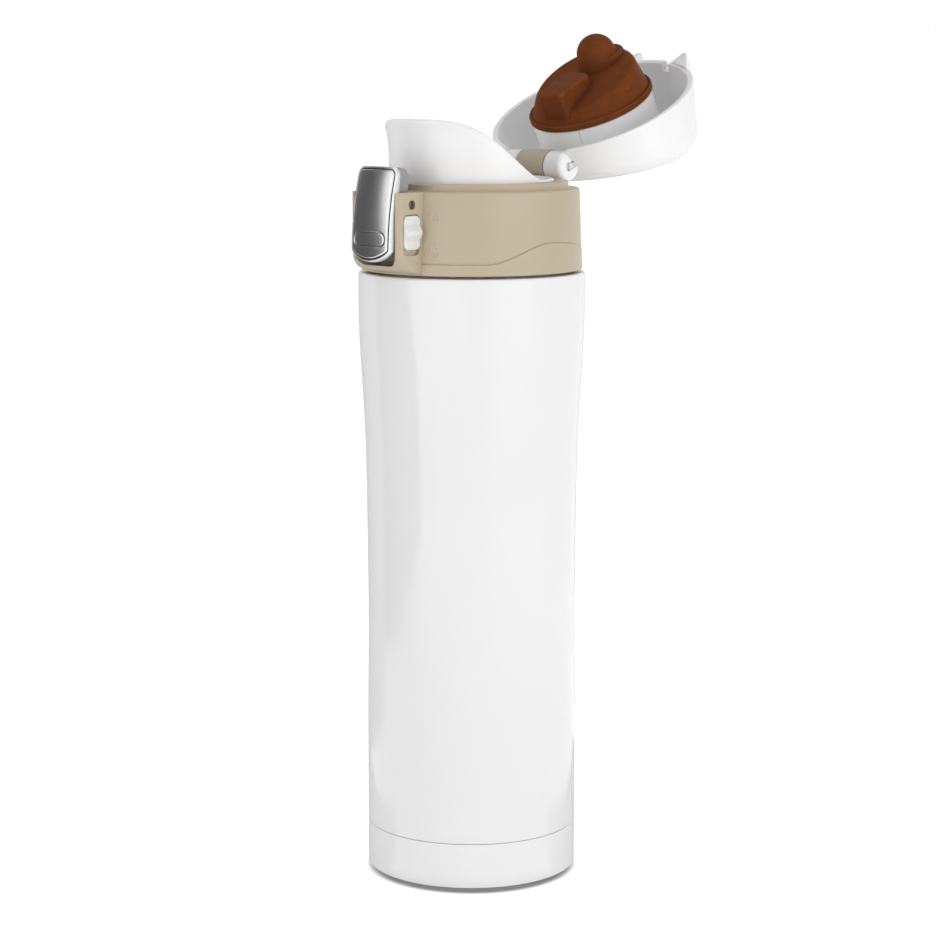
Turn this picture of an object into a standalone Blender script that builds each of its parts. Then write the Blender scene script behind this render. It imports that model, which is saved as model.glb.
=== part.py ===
"""Insulated travel mug: a double-walled steel bottle with a screw-on collar, a spout and a flip lid.

Metres, +Z up. The origin is the centre of the underside. The push latch faces -Y and the lid's hinge
is at +Y. The lid is built closed, and then hangs open from an empty on its hinge axis.
"""
from math import asin, atan, cos, degrees, hypot, pi, radians, sin, sqrt, tan

import bmesh
import bpy
from mathutils import Matrix, Vector

# Fits, walls and resolution
GAP = 0.0003                    # between pieces that touch, slide or turn in each other
SHEET = 0.0006                  # steel sheet of the bottle and of the latch cover
SEGMENTS = 36                   # facets round the large turned pieces
SMALL_SEGMENTS = 20             # facets round pins, knuckles and holes

# Bottle
BASE_RADIUS = 0.0330
WAIST_RADIUS = 0.03265
SHOULDER_RADIUS = 0.0352
STRAIGHT_TOP_Z = 0.040          # the lower body is straight up to here
WAIST_Z = 0.085
FLARE_TOP_Z = 0.176             # the flare ends in a straight shoulder
FLARE_EVEN = 0.3                # share of the flare that rises evenly, the rest comes late
FLARE_POWER = 4
FLARE_ROWS = (0.35, 0.6, 0.8, 1.0)
BODY_TOP_Z = 0.1894
SHOULDER_EDGE = 0.0010          # rounding of the shoulder's top edge
BASE_SEAM_Z = 0.0140            # where the base cup meets the body
BASE_EDGE = 0.0012              # rounding of the cup's lower edge
CUP_FLOOR = 0.0010
SKIRT_BOTTOM_Z = 0.0046         # lower end of the shell, inside the cup
PLATE_LIFT = 0.0004             # base plate above the end of the shell
PLATE_FLANGE = 0.0030
PORT_RADIUS = 0.0012            # evacuation hole in the base plate
PORT_CUP_RADIUS = 0.0033        # dimple round that hole
PORT_CUP_DEPTH = 0.0012
SEAL_PLUG_THICKNESS = 0.0008
GETTER_RADIUS = 0.0050
GETTER_THICKNESS = 0.0010
GETTER_OFFSET = 0.0140
VACUUM_GAP = 0.0022             # between the walls, at the waist
SKIRT_AIR = 0.0015              # the least gap between the vessel and the shell's skirt
VACUUM_FLOOR = 0.0050           # between the base plate and the vessel
VESSEL_CORNER = 0.0080
VESSEL_SHOULDER = 0.0110        # height over which the vessel draws in to its neck

# Collar, and the threaded ring inside it
COLLAR_SETBACK = 0.0009
COLLAR_DRAFT = 0.00085
COLLAR_HEIGHT = 0.0250
COLLAR_WALL = 0.0018
COLLAR_EDGE = 0.0007
DECK = 0.0018                   # the collar's top wall
LEDGE = 0.00345                 # the lid's rim rests on this ledge
STEP_HEIGHT = 0.0022
STEP_ROOF = 0.00175
STEP_EDGE = 0.0004
RING_AIR = 0.0006               # between the threaded ring's sleeve and the collar
RING_WALL = 0.0016
RING_FLANGE = 0.0020
RING_CLEARANCE = 0.0018         # from the shoulder up to the threaded ring
THREAD_PITCH = 0.0040
THREAD_TURNS = 1.25
THREAD_HEIGHT = 0.0011
THREAD_ROOT = 0.0020
THREAD_CREST = 0.0008
THREAD_CLEARANCE = 0.0005
THREAD_RISE = 0.0086            # from the shoulder up to the start of the bottle's thread
THREAD_BITE = 0.0002            # a ridge's root sinks this far into its wall

# Spout
MOUTH_CLEARANCE = 0.0008
SPOUT_WALL = 0.0016
FLANGE = 0.0016
GASKET = 0.0018
SKIRT_DROP = 0.0065             # the spout's skirt below its flange
LIP_FRONT = 0.0213              # height of the lip above the collar, at its crest
LIP_BACK = 0.0030
LIP_END = 0.0063                # behind the mug's axis, where the lip's fall ends
LIP_FLARE = 0.0018
LIP_FLARE_POWER = 4             # the flare keeps to the upper part of the lip
LIP_ROWS = (0, 0.4, 0.75, 0.97)
SEAL_INSET = 0.0034             # from the spout's wall to the stopper's flange
WELL_WALL = 0.0014
WELL_TAPER = 0.0008
WELL_FLOOR = 0.0016
FUNNEL = 0.0030                 # height over which the spout narrows to its well
DRINK_HOLE_RADIUS = 0.0046
VENT_RADIUS = 0.0013
VENT_BACK = 0.0060              # the vent's place, towards the hinge

# Lid
LID_OVERHANG = 0.00035          # of the lid's rim past the collar's edge
LID_WALL = 0.0020
LID_DRAFT = 0.0032
LID_FRONT_HEIGHT = 0.0282
LID_BACK_HEIGHT = 0.0119
LID_EDGE = 0.0068               # rounding between the lid's wall and its top
EDGE_STEPS = 4
OPEN_ANGLE = radians(154.3)
HINGE_INSET = 0.0027            # of the hinge axis from the lid's outer wall
HINGE_RISE = 0.0058             # of the hinge axis above the collar
KNUCKLE_RADIUS = 0.0049
KNUCKLE_LENGTH = 0.0070
KNUCKLE_EDGE = 0.0015           # rounding of a knuckle's outer end
BARREL_RADIUS = 0.0052
BARREL_HALF = 0.0057
BARREL_WALL = 0.0016
PEDESTAL_DEPTH = 0.0031
HINGE_PIN_RADIUS = 0.00125
PIN_RECESS = 0.0008             # of a pin's end below the face round it
SPRING_SLOT = 0.0016
EAR_REACH = 0.0056              # the ears stand out this far in front of the lid's wall
EAR_TIP = 0.0014
EAR_HEIGHT = 0.0085
EAR_TIP_HEIGHT = 0.0060
EAR_ROOT = radians(40)          # the ears spring from the wall this far round from the latch
EAR_SLOT_WIDTH = 0.0031         # the rim is slotted beside each ear
EAR_SLOT_HEIGHT = 0.0026
EAR_SLOT_DEPTH = 0.0038
CATCH_HALF = 0.0045
CATCH_BITE = 0.00055            # of the catch behind the hook's tip
CATCH_LIFT = 0.0003
CATCH_CHAMFER = 0.0010

# Stopper and the drum that carries it
SLANT = radians(12.4)           # of the stopper's face and of the well's floor
DRUM_DROP = 0.0004              # of the drum's end below the lid's rim
SEAL_DEPTH = 0.0093             # of the stopper's face, at its centre, below the rim
SEAL_FACE_INSET = 0.0029        # from the flange's edge to the face's edge
SEAL_WALL = 0.0018
SEAL_LIP = 0.0020
SEAL_EDGE = 0.0014
DRUM_INSET = 0.0006
DRUM_WALL = 0.0015
DOME_OFFSET = 0.0090            # of the dome from the lid's centre, towards the latch
DOME_RADIUS = 0.00645
DOME_CENTRE = 0.0143            # of the dome's sphere below the rim
DOME_STEP = 0.00155
DOME_STEP_DEPTH = 0.0120
DOME_ARC = 75                   # degrees of the sphere that are modelled round its pole
BLOCK_HALF = 0.0050
BLOCK_DEPTH = 0.0128
BLOCK_BACK = 0.0174             # the block runs from here, at the hinge side,
BLOCK_TIP = 0.0008              # to here, just behind the lid's centre
BLOCK_EDGE = 0.0030

# Latch, its housing on the collar and the lock slider
COVER_HALF = 0.00825
COVER_TOP = 0.0107              # from the pivot, along the latch
COVER_BOTTOM = 0.0179
COVER_FRONT = 0.0064            # from the pivot to the cover's crown
COVER_CURVE = 0.0360            # radius of the cover's crown
COVER_DEPTH = 0.0023
COVER_CORNER = 0.0026
COVER_CHIN = 0.0130             # radius of the cover's lower edge
COVER_HEEL = 0.0022             # rounding of its lower corners
LATCH_LEAN = radians(7.6)
PIVOT_OUT = 0.00315             # of the pivot from the collar's top edge
PIVOT_DROP = 0.00365            # of the pivot below the collar's top
LATCH_PIN_RADIUS = 0.0011
LEVER_BOSS_RADIUS = 0.0026
LEVER_BACK = 0.0006             # behind the pivot, at the hook
LEVER_ARM_HALF = 0.0064
LEVER_ARM_BACK = 0.0020         # the arm's back is this far in front of the pivot
ARM_SHOULDER = 0.0019           # the arm narrows this far below the pivot
HOOK_HEIGHT = 0.0030
HOOK_CHAMFER = 0.0020
HOOK_POCKET_HALF = 0.0050
HOOK_POCKET_FLOOR = 0.0031      # above the pivot
HOOK_POCKET_DEPTH = 0.0019
SPRING_BAY_HALF = 0.0030
LEG_SWING = 0.0009              # room for the spring's leg when the latch is pressed
CHEEK = 0.00175
HOUSING_FRONT = 0.00875         # in front of the collar's top edge
HOUSING_LIFT = 0.0024           # its underside rises this much towards the front
HOUSING_CHIN = 0.0050           # rounding of its front lower edge
HOUSING_EDGE = 0.0016           # rounding of its upright edges
BAY_LIFT = 0.00295              # the latch's bay above the collar's lower edge
BAY_CORNER = 0.00375
SLOT_WIDTH = 0.0068
SLOT_HEIGHT = 0.0122
SLOT_DROP = 0.0126              # the slot's centre below the collar's top
SLOT_OUT = 0.00345              # and in front of the collar's top edge
SLIDER_HEIGHT = 0.0102
SLIDER_PROUD = 0.0005
SLIDER_RIB = 0.0014
SLIDER_RIB_HALF = 0.0013
SLIDER_FLANGE = 0.0012
SLIDER_LAP = 0.0009
SLIDER_FRONT_STEP = 0.0016      # the inner flange keeps clear of the cover
LOCK_TAB = 0.0016
LOCK_TAB_HEIGHT = 0.0024
LOCK_TAB_DROP = 0.0008

# Springs
HINGE_COIL_RADIUS = 0.0024
HINGE_COIL_TURNS = 6
HINGE_COIL_PITCH = 0.0015
HINGE_WIRE = 0.0003
HINGE_LEG = 0.0034
LATCH_COIL_RADIUS = 0.0020
LATCH_COIL_TURNS = 3
LATCH_COIL_PITCH = 0.0012
LATCH_WIRE = 0.0003
LATCH_LEG = 0.0042
CURL_POINTS = 9

# Places and radii that follow from those sizes, from the outside in and from the base up
COLLAR_BOTTOM_Z = BODY_TOP_Z + GAP
COLLAR_TOP_Z = COLLAR_BOTTOM_Z + COLLAR_HEIGHT
RIM_Z = COLLAR_TOP_Z + GAP
COLLAR_BOTTOM_RADIUS = SHOULDER_RADIUS - COLLAR_SETBACK
COLLAR_TOP_RADIUS = COLLAR_BOTTOM_RADIUS - COLLAR_DRAFT
STEP_RADIUS = COLLAR_TOP_RADIUS - LEDGE
STEP_Z = COLLAR_TOP_Z + STEP_HEIGHT
RING_RADIUS = COLLAR_TOP_RADIUS - COLLAR_WALL - RING_AIR
RING_BORE = RING_RADIUS - RING_WALL
NECK_RADIUS = RING_BORE - THREAD_HEIGHT - THREAD_CLEARANCE
VESSEL_NECK_RADIUS = NECK_RADIUS - SHEET - GAP
MOUTH_RADIUS = VESSEL_NECK_RADIUS - SHEET
SPOUT_RADIUS = MOUTH_RADIUS - MOUTH_CLEARANCE
FLANGE_RADIUS = RING_BORE - GAP
FLANGE_TOP_Z = STEP_Z - STEP_ROOF - GAP
FLANGE_BOTTOM_Z = FLANGE_TOP_Z - FLANGE
GASKET_TOP_Z = FLANGE_BOTTOM_Z - GAP
MOUTH_Z = GASKET_TOP_Z - GASKET - GAP
SKIRT_RADIUS = BASE_RADIUS - SHEET - GAP
VESSEL_RADIUS = min(WAIST_RADIUS - SHEET - VACUUM_GAP, SKIRT_RADIUS - SHEET - SKIRT_AIR)
VESSEL_BOTTOM_Z = SKIRT_BOTTOM_Z + PLATE_LIFT + SHEET + VACUUM_FLOOR
SEAL_RADIUS = SPOUT_RADIUS - SPOUT_WALL - SEAL_INSET
WELL_RADIUS = SEAL_RADIUS + GAP
DRUM_RADIUS = SEAL_RADIUS - DRUM_INSET
SEAT_DEPTH = sqrt((DOME_RADIUS + GAP) ** 2 - DRINK_HOLE_RADIUS ** 2)
HOLE_OFFSET = DOME_OFFSET - SEAT_DEPTH * sin(SLANT)
WELL_DEPTH = DOME_CENTRE + SEAT_DEPTH * cos(SLANT)
LID_RADIUS = COLLAR_TOP_RADIUS + LID_OVERHANG
LID_SLOPE = (LID_FRONT_HEIGHT - LID_BACK_HEIGHT) / (2 * LID_RADIUS)
LID_MIDDLE = (LID_FRONT_HEIGHT + LID_BACK_HEIGHT) / 2
HINGE = Vector((0, LID_RADIUS - HINGE_INSET, COLLAR_TOP_Z + HINGE_RISE))
KNUCKLE_START = BARREL_HALF + GAP
KNUCKLE_END = KNUCKLE_START + KNUCKLE_LENGTH
PIVOT = Vector((0, -COLLAR_TOP_RADIUS - PIVOT_OUT, COLLAR_TOP_Z - PIVOT_DROP))
HOUSING_INNER = COVER_HALF + GAP
HOUSING_HALF = HOUSING_INNER + CHEEK
HOUSING_FRONT_Y = -COLLAR_TOP_RADIUS - HOUSING_FRONT
LEVER_INSET = SHEET + GAP
COVER_BACK = COVER_FRONT - COVER_DEPTH
HOOK_BOTTOM = COVER_TOP - HOOK_HEIGHT
DRUM_END_Z = RIM_Z - DRUM_DROP
SEAL_TOP_Z = DRUM_END_Z - GAP
SEAL_LIP_Z = SEAL_TOP_Z - SEAL_LIP

WHITE = (0.88, 0.88, 0.87)
BEIGE = (0.55, 0.45, 0.31)
BROWN = (0.19, 0.06, 0.02)
STEEL = (0.62, 0.62, 0.63)
GREY = (0.60, 0.60, 0.62)
CLEAR_GREY = (0.75, 0.75, 0.74)


def clear_scene():
    """Removes what is in the file."""
    for item in list(bpy.data.objects):
        bpy.data.objects.remove(item)


def finish(item, colour, roughness, metallic=0.0):
    """Gives a piece its own material and smooth shading."""
    look = bpy.data.materials.new(item.name)
    look.use_nodes = True
    shader = look.node_tree.nodes["Principled BSDF"]
    shader.inputs["Base Color"].default_value = (*colour, 1.0)
    shader.inputs["Roughness"].default_value = roughness
    shader.inputs["Metallic"].default_value = metallic
    item.data.materials.clear()
    item.data.materials.append(look)
    if item.type == "MESH":
        item.data.shade_smooth()
        item.data.set_sharp_from_angle(angle=radians(35))
    return item


def link(name, data):
    item = bpy.data.objects.new(name, data)
    bpy.context.scene.collection.objects.link(item)
    return item


def loft(name, loops, closed=False):
    """Skins a row of loops with equal counts. A loop of one point is a pole; other ends are capped."""
    shape = bmesh.new()
    rows = [[shape.verts.new(point) for point in loop] for loop in loops]
    pairs = list(zip(rows, rows[1:]))
    if closed:
        pairs.append((rows[-1], rows[0]))
    for low, high in pairs:
        count = max(len(low), len(high))
        for i in range(count):
            corners = [low[i % len(low)], low[(i + 1) % len(low)]]
            corners += [high[(i + 1) % len(high)], high[i % len(high)]]
            shape.faces.new(list(dict.fromkeys(corners)))
    if not closed:
        for end in (rows[0], rows[-1]):
            if len(end) > 2:
                shape.faces.new(end)
    bmesh.ops.recalc_face_normals(shape, faces=shape.faces)
    mesh = bpy.data.meshes.new(name)
    shape.to_mesh(mesh)
    shape.free()
    return link(name, mesh)


def ring(radius, height, count=SEGMENTS, centre=(0.0, 0.0)):
    """A level circle. The height may be a function of the point's place, to follow a slope."""
    points = []
    for i in range(count):
        turn = 2 * pi * i / count
        x = centre[0] + radius * sin(turn)
        y = centre[1] - radius * cos(turn)
        points.append((x, y, height(x, y) if callable(height) else height))
    return points


def turned(name, profile, count=SEGMENTS, centre=(0.0, 0.0)):
    """Turns a closed profile of (radius, height) points about a vertical axis."""
    loops = []
    for radius, height in profile:
        loops.append(ring(radius, height, count, centre) if radius else [(*centre, height)])
    return loft(name, loops, closed=profile[0][0] > 0)


def box(name, low, high):
    corners = [(low[0], low[1]), (high[0], low[1]), (high[0], high[1]), (low[0], high[1])]
    return loft(name, [[(x, y, z) for x, y in corners] for z in (low[2], high[2])])


def spindle(name, profile, y=0.0, z=0.0):
    """Turns a row of (x, radius) points about an axis along X."""
    turns = [2 * pi * i / SMALL_SEGMENTS for i in range(SMALL_SEGMENTS)]
    return loft(name, [[(x, y + r * cos(t), z + r * sin(t)) for t in turns] for x, r in profile])


def rod(name, radius, start, end, y=0.0, z=0.0):
    """A round rod along X."""
    return spindle(name, [(start, radius), (end, radius)], y, z)


def profile_bar(name, outline, half):
    """Extrudes a (y, z) outline along X, to both sides."""
    return loft(name, [[(x, y, z) for y, z in outline] for x in (-half, half)])


def combine(target, other, operation):
    """Joins, cuts or keeps the common part, and takes the other shape away."""
    change = target.modifiers.new(operation, "BOOLEAN")
    change.operation = operation
    change.solver = "EXACT"
    change.object = other
    shape = target.evaluated_get(bpy.context.evaluated_depsgraph_get())
    mesh = bpy.data.meshes.new_from_object(shape)
    target.modifiers.remove(change)
    target.data = mesh
    bpy.data.objects.remove(other)
    return target


def cut(target, *others):
    for other in others:
        combine(target, other, "DIFFERENCE")
    return target


def join(target, *others):
    for other in others:
        combine(target, other, "UNION")
    return target


def joint_empty(name, place, tilt):
    """An empty on a joint's axis, turned about X."""
    holder = link(name, None)
    holder.location = place
    holder.rotation_euler = (tilt, 0, 0)
    return holder


def hang(item, holder):
    item.parent = holder
    return item


def arc(centre, radius, start, end, steps):
    """Points of an arc, in degrees, both ends included."""
    angles = [radians(start + (end - start) * i / steps) for i in range(steps + 1)]
    return [(centre[0] + radius * cos(a), centre[1] + radius * sin(a)) for a in angles]


def tube(name, points, wire):
    """A round wire along a row of points."""
    curve = bpy.data.curves.new(name, "CURVE")
    curve.dimensions = "3D"
    curve.bevel_depth = wire
    curve.bevel_resolution = 1
    curve.use_fill_caps = True
    line = curve.splines.new("POLY")
    line.points.add(len(points) - 1)
    for knot, point in zip(line.points, points):
        knot.co = (*point, 1.0)
    print(name, "least gap to itself, mm:", round(1000 * least_gap(points, wire), 2))
    return link(name, curve)


def least_gap(points, wire):
    """The least free distance between stretches of a wound wire, half a curl or more apart."""
    apart = CURL_POINTS // 2
    gaps = []
    for i, one in enumerate(points):
        for other in points[i + apart:]:
            gaps.append((Vector(one) - Vector(other)).length - 2 * wire)
    return min(gaps)


def coil(radius, turns, pitch, start_x):
    """Points of a coil along X, with its first point at the bottom."""
    points = []
    for i in range(turns * CURL_POINTS + 1):
        turn = 2 * pi * i / CURL_POINTS
        points.append((start_x + pitch * i / CURL_POINTS, radius * sin(turn), -radius * cos(turn)))
    return points


def thread(name, root, crest, start_z):
    """A thread's ridge: a trapezium carried round a helix."""
    steps = round(THREAD_TURNS * SEGMENTS)
    loops = []
    for i in range(steps + 1):
        turn = 2 * pi * THREAD_TURNS * i / steps
        z = start_z + THREAD_PITCH * THREAD_TURNS * i / steps
        section = [(root, z - THREAD_ROOT / 2), (crest, z - THREAD_CREST / 2)]
        section += [(crest, z + THREAD_CREST / 2), (root, z + THREAD_ROOT / 2)]
        loops.append([(r * cos(turn), r * sin(turn), height) for r, height in section])
    return loft(name, loops)


def body_radius(z):
    """The body's outer radius: straight, drawn in to a waist, then flared to the shoulder."""
    if z <= WAIST_Z:
        share = max(0.0, (z - STRAIGHT_TOP_Z) / (WAIST_Z - STRAIGHT_TOP_Z))
        return BASE_RADIUS + (WAIST_RADIUS - BASE_RADIUS) * ease(share)
    share = min(1.0, (z - WAIST_Z) / (FLARE_TOP_Z - WAIST_Z))
    rise = FLARE_EVEN * share + (1 - FLARE_EVEN) * ease(share) ** FLARE_POWER
    return WAIST_RADIUS + (SHOULDER_RADIUS - WAIST_RADIUS) * rise


def ease(share):
    return share * share * (3 - 2 * share)


def outer_shell():
    """The painted outer wall: a stepped skirt in the base cup, the body, the shoulder and the neck."""
    low = BASE_SEAM_Z + GAP / 2
    heights = [low, STRAIGHT_TOP_Z, WAIST_Z]
    heights += [WAIST_Z + (FLARE_TOP_Z - WAIST_Z) * share for share in FLARE_ROWS]
    outside = [(body_radius(z), z) for z in heights]
    outside += [(SHOULDER_RADIUS, BODY_TOP_Z - SHOULDER_EDGE)]
    outside += [(SHOULDER_RADIUS - SHOULDER_EDGE, BODY_TOP_Z)]
    outside += [(NECK_RADIUS, BODY_TOP_Z), (NECK_RADIUS, MOUTH_Z - SHEET - GAP)]
    inside = [(NECK_RADIUS - SHEET, MOUTH_Z - SHEET - GAP), (NECK_RADIUS - SHEET, BODY_TOP_Z - SHEET)]
    inside += [(SHOULDER_RADIUS - SHEET - SHOULDER_EDGE, BODY_TOP_Z - SHEET)]
    inside += [(SHOULDER_RADIUS - SHEET, BODY_TOP_Z - SHEET - SHOULDER_EDGE)]
    inside += [(body_radius(z) - SHEET, z) for z in reversed(heights[1:])]
    inside += [(BASE_RADIUS - SHEET, low + 2 * SHEET), (SKIRT_RADIUS - SHEET, low + SHEET)]
    skirt = [(SKIRT_RADIUS - SHEET, SKIRT_BOTTOM_Z), (SKIRT_RADIUS, SKIRT_BOTTOM_Z), (SKIRT_RADIUS, low)]
    shell = turned("outer_shell", outside + inside + skirt)
    crest = NECK_RADIUS + THREAD_HEIGHT
    ridge = thread("neck_thread", NECK_RADIUS - THREAD_BITE, crest, BODY_TOP_Z + THREAD_RISE)
    return finish(join(shell, ridge), WHITE, 0.2)


def inner_vessel():
    """The steel liner. Its rolled lip covers the top of the shell's neck."""
    neck_z = BODY_TOP_Z - SHEET
    corner = VESSEL_RADIUS - VESSEL_CORNER
    outside = [(0, VESSEL_BOTTOM_Z)]
    outside += arc((corner, VESSEL_BOTTOM_Z + VESSEL_CORNER), VESSEL_CORNER, -90, 0, 4)
    outside += [(VESSEL_RADIUS, neck_z - VESSEL_SHOULDER), (VESSEL_NECK_RADIUS, neck_z)]
    outside += [(VESSEL_NECK_RADIUS, MOUTH_Z - SHEET), (NECK_RADIUS, MOUTH_Z - SHEET)]
    outside += [(NECK_RADIUS, MOUTH_Z)]
    inside = [(MOUTH_RADIUS, MOUTH_Z), (MOUTH_RADIUS, neck_z)]
    inside += [(VESSEL_RADIUS - SHEET, neck_z - VESSEL_SHOULDER)]
    inside += arc((corner, VESSEL_BOTTOM_Z + VESSEL_CORNER), VESSEL_CORNER - SHEET, 0, -90, 4)
    inside += [(0, VESSEL_BOTTOM_Z + SHEET)]
    return finish(turned("inner_vessel", outside + inside), STEEL, 0.35, 1.0)


def base_plate():
    """The disc that closes the shell, with a dimple round its evacuation hole."""
    low = SKIRT_BOTTOM_Z + PLATE_LIFT
    edge = SKIRT_RADIUS - SHEET - GAP
    profile = [(edge, low + PLATE_FLANGE), (edge, low), (PORT_CUP_RADIUS, low)]
    profile += [(PORT_CUP_RADIUS, low + PORT_CUP_DEPTH), (PORT_RADIUS, low + PORT_CUP_DEPTH)]
    cup = PORT_CUP_RADIUS + SHEET
    cup_top = low + PORT_CUP_DEPTH + SHEET
    profile += [(PORT_RADIUS, cup_top), (cup, cup_top), (cup, low + SHEET)]
    profile += [(edge - SHEET, low + SHEET), (edge - SHEET, low + PLATE_FLANGE)]
    return finish(turned("base_plate", profile), STEEL, 0.4, 1.0)


def vacuum_seal_plug():
    """The solder that closes the evacuation hole, in its dimple."""
    top = SKIRT_BOTTOM_Z + PLATE_LIFT + PORT_CUP_DEPTH - GAP
    radius = PORT_CUP_RADIUS - GAP
    low = top - SEAL_PLUG_THICKNESS
    profile = [(0, top), (radius, top), (radius, low), (0, low)]
    return finish(turned("vacuum_seal_plug", profile, SMALL_SEGMENTS), GREY, 0.5, 1.0)


def getter():
    """The pill on the base plate that keeps the vacuum."""
    low = SKIRT_BOTTOM_Z + PLATE_LIFT + SHEET + GAP
    top = low + GETTER_THICKNESS
    profile = [(0, top), (GETTER_RADIUS, top), (GETTER_RADIUS, low), (0, low)]
    return finish(turned("getter", profile, SMALL_SEGMENTS, (GETTER_OFFSET, 0.0)), GREY, 0.6, 1.0)


def base_cup():
    """The cup pressed over the shell's skirt. Its flat floor is what the mug stands on."""
    top = BASE_SEAM_Z - GAP / 2
    wall = BASE_RADIUS - SHEET
    profile = [(0, 0)] + arc((BASE_RADIUS - BASE_EDGE, BASE_EDGE), BASE_EDGE, -90, 0, 3)
    profile += [(BASE_RADIUS, top), (wall, top), (wall, BASE_EDGE + CUP_FLOOR)]
    profile += [(wall - BASE_EDGE, CUP_FLOOR), (0, CUP_FLOOR)]
    return finish(turned("base_cup", profile), WHITE, 0.2)


def thread_ring():
    """The threaded ring that is pressed up into the collar."""
    top = COLLAR_TOP_Z - DECK - GAP
    low = BODY_TOP_Z + RING_CLEARANCE
    edge = COLLAR_TOP_RADIUS - COLLAR_WALL - GAP
    profile = [(edge, top), (edge, top - RING_FLANGE), (RING_RADIUS, top - RING_FLANGE)]
    profile += [(RING_RADIUS, low), (RING_BORE, low), (RING_BORE, top)]
    sleeve = turned("thread_ring", profile)
    crest = NECK_RADIUS + THREAD_CLEARANCE
    start = BODY_TOP_Z + THREAD_RISE - THREAD_PITCH / 2
    return finish(join(sleeve, thread("ring_thread", RING_BORE + THREAD_BITE, crest, start)), WHITE, 0.4)


def latch_housing():
    """The frame on the collar's front that holds the latch between its cheeks, round at its chin."""
    back = -COLLAR_TOP_RADIUS + COLLAR_WALL
    end = back - HOUSING_EDGE - GAP
    low = COLLAR_BOTTOM_Z + GAP
    slope = HOUSING_LIFT / (end - HOUSING_FRONT_Y)
    chin_y = HOUSING_FRONT_Y + HOUSING_CHIN
    chin_z = low + slope * (end - chin_y) + HOUSING_CHIN * hypot(1, slope)
    rows = [(HOUSING_FRONT_Y, COLLAR_TOP_Z)]
    rows += arc((chin_y, chin_z), HOUSING_CHIN, 180, 270 - degrees(atan(slope)), 4) + [(end, low)]
    loops = []
    for front, z in rows:
        middle = (HOUSING_HALF - HOUSING_EDGE, front + HOUSING_EDGE)
        right = arc(middle, HOUSING_EDGE, 270, 360, 2) + [(HOUSING_HALF, back)]
        left = [(-x, y) for x, y in reversed(right)]
        loops.append([(x, y, z) for x, y in left + right])
    frame = loft("latch_housing", loops)
    core = COLLAR_TOP_RADIUS - COLLAR_WALL / 2
    profile = [(0, COLLAR_TOP_Z + GAP), (core, COLLAR_TOP_Z + GAP), (core, 0), (0, 0)]
    return cut(frame, turned("housing_core", profile))


def latch_bay():
    """The room between the cheeks, round at its lower corners, back to the collar's round wall."""
    corner_x = HOUSING_INNER - BAY_CORNER
    corner_z = COLLAR_BOTTOM_Z + BAY_LIFT + BAY_CORNER
    right = arc((corner_x, corner_z), BAY_CORNER, 270, 360, 4) + [(HOUSING_INNER, COLLAR_TOP_Z + DECK)]
    outline = [(-x, z) for x, z in reversed(right)] + right
    bay = loft("latch_bay", [[(x, y, z) for x, z in outline] for y in (2 * HOUSING_FRONT_Y, 0)])
    top = COLLAR_TOP_Z + 2 * DECK
    wall = [(0, top), (COLLAR_TOP_RADIUS, top), (COLLAR_TOP_RADIUS, COLLAR_TOP_Z)]
    wall += [(COLLAR_BOTTOM_RADIUS, COLLAR_BOTTOM_Z), (COLLAR_BOTTOM_RADIUS, 0), (0, 0)]
    return cut(bay, turned("bay_wall", wall))


def slot_middle():
    return -COLLAR_TOP_RADIUS - SLOT_OUT, COLLAR_TOP_Z - SLOT_DROP


def hinge_mount():
    """The barrel between the lid's knuckles, on its pedestal."""
    barrel = rod("hinge_mount", BARREL_RADIUS, -BARREL_HALF, BARREL_HALF, HINGE.y, HINGE.z)
    back = COLLAR_TOP_RADIUS - COLLAR_EDGE
    low = (-BARREL_HALF, back - PEDESTAL_DEPTH, COLLAR_TOP_Z - DECK / 2)
    return join(barrel, box("pedestal", low, (BARREL_HALF, back, HINGE.z)))


def collar():
    """The collar: a round wall with a deck and a step, the latch's housing and the hinge's barrel."""
    pocket = FLANGE_RADIUS + GAP
    hole = SPOUT_RADIUS + GAP
    deck_low = COLLAR_TOP_Z - DECK
    step_low = STEP_Z - STEP_ROOF
    inside = COLLAR_TOP_RADIUS - COLLAR_WALL
    profile = [(hole, STEP_Z), (STEP_RADIUS - STEP_EDGE, STEP_Z), (STEP_RADIUS, STEP_Z - STEP_EDGE)]
    profile += [(STEP_RADIUS, COLLAR_TOP_Z), (COLLAR_TOP_RADIUS - COLLAR_EDGE, COLLAR_TOP_Z)]
    profile += [(COLLAR_TOP_RADIUS, COLLAR_TOP_Z - COLLAR_EDGE), (COLLAR_BOTTOM_RADIUS, COLLAR_BOTTOM_Z)]
    profile += [(COLLAR_BOTTOM_RADIUS - COLLAR_WALL, COLLAR_BOTTOM_Z), (inside, deck_low)]
    profile += [(pocket, deck_low), (pocket, step_low), (hole, step_low)]
    body = join(turned("collar", profile), latch_housing(), hinge_mount())
    cut(body, latch_bay())
    bore = BARREL_RADIUS - BARREL_WALL
    cut(body, rod("barrel_bore", bore, -KNUCKLE_END, KNUCKLE_END, HINGE.y, HINGE.z))
    swing = KNUCKLE_RADIUS + 2 * GAP
    for side in (-1, 1):
        ends = (side * KNUCKLE_START - side * GAP, side * (KNUCKLE_END + 2 * GAP))
        cut(body, rod("knuckle_room", swing, *ends, HINGE.y, HINGE.z))
    far = 2 * HOUSING_HALF
    cut(body, rod("pin_hole", LATCH_PIN_RADIUS + GAP, -far, far, PIVOT.y, PIVOT.z))
    y, z = slot_middle()
    low = (HOUSING_INNER - GAP, y - SLOT_WIDTH / 2, z - SLOT_HEIGHT / 2)
    cut(body, box("lock_slot", low, (far, y + SLOT_WIDTH / 2, z + SLOT_HEIGHT / 2)))
    return finish(body, BEIGE, 0.45)


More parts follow.
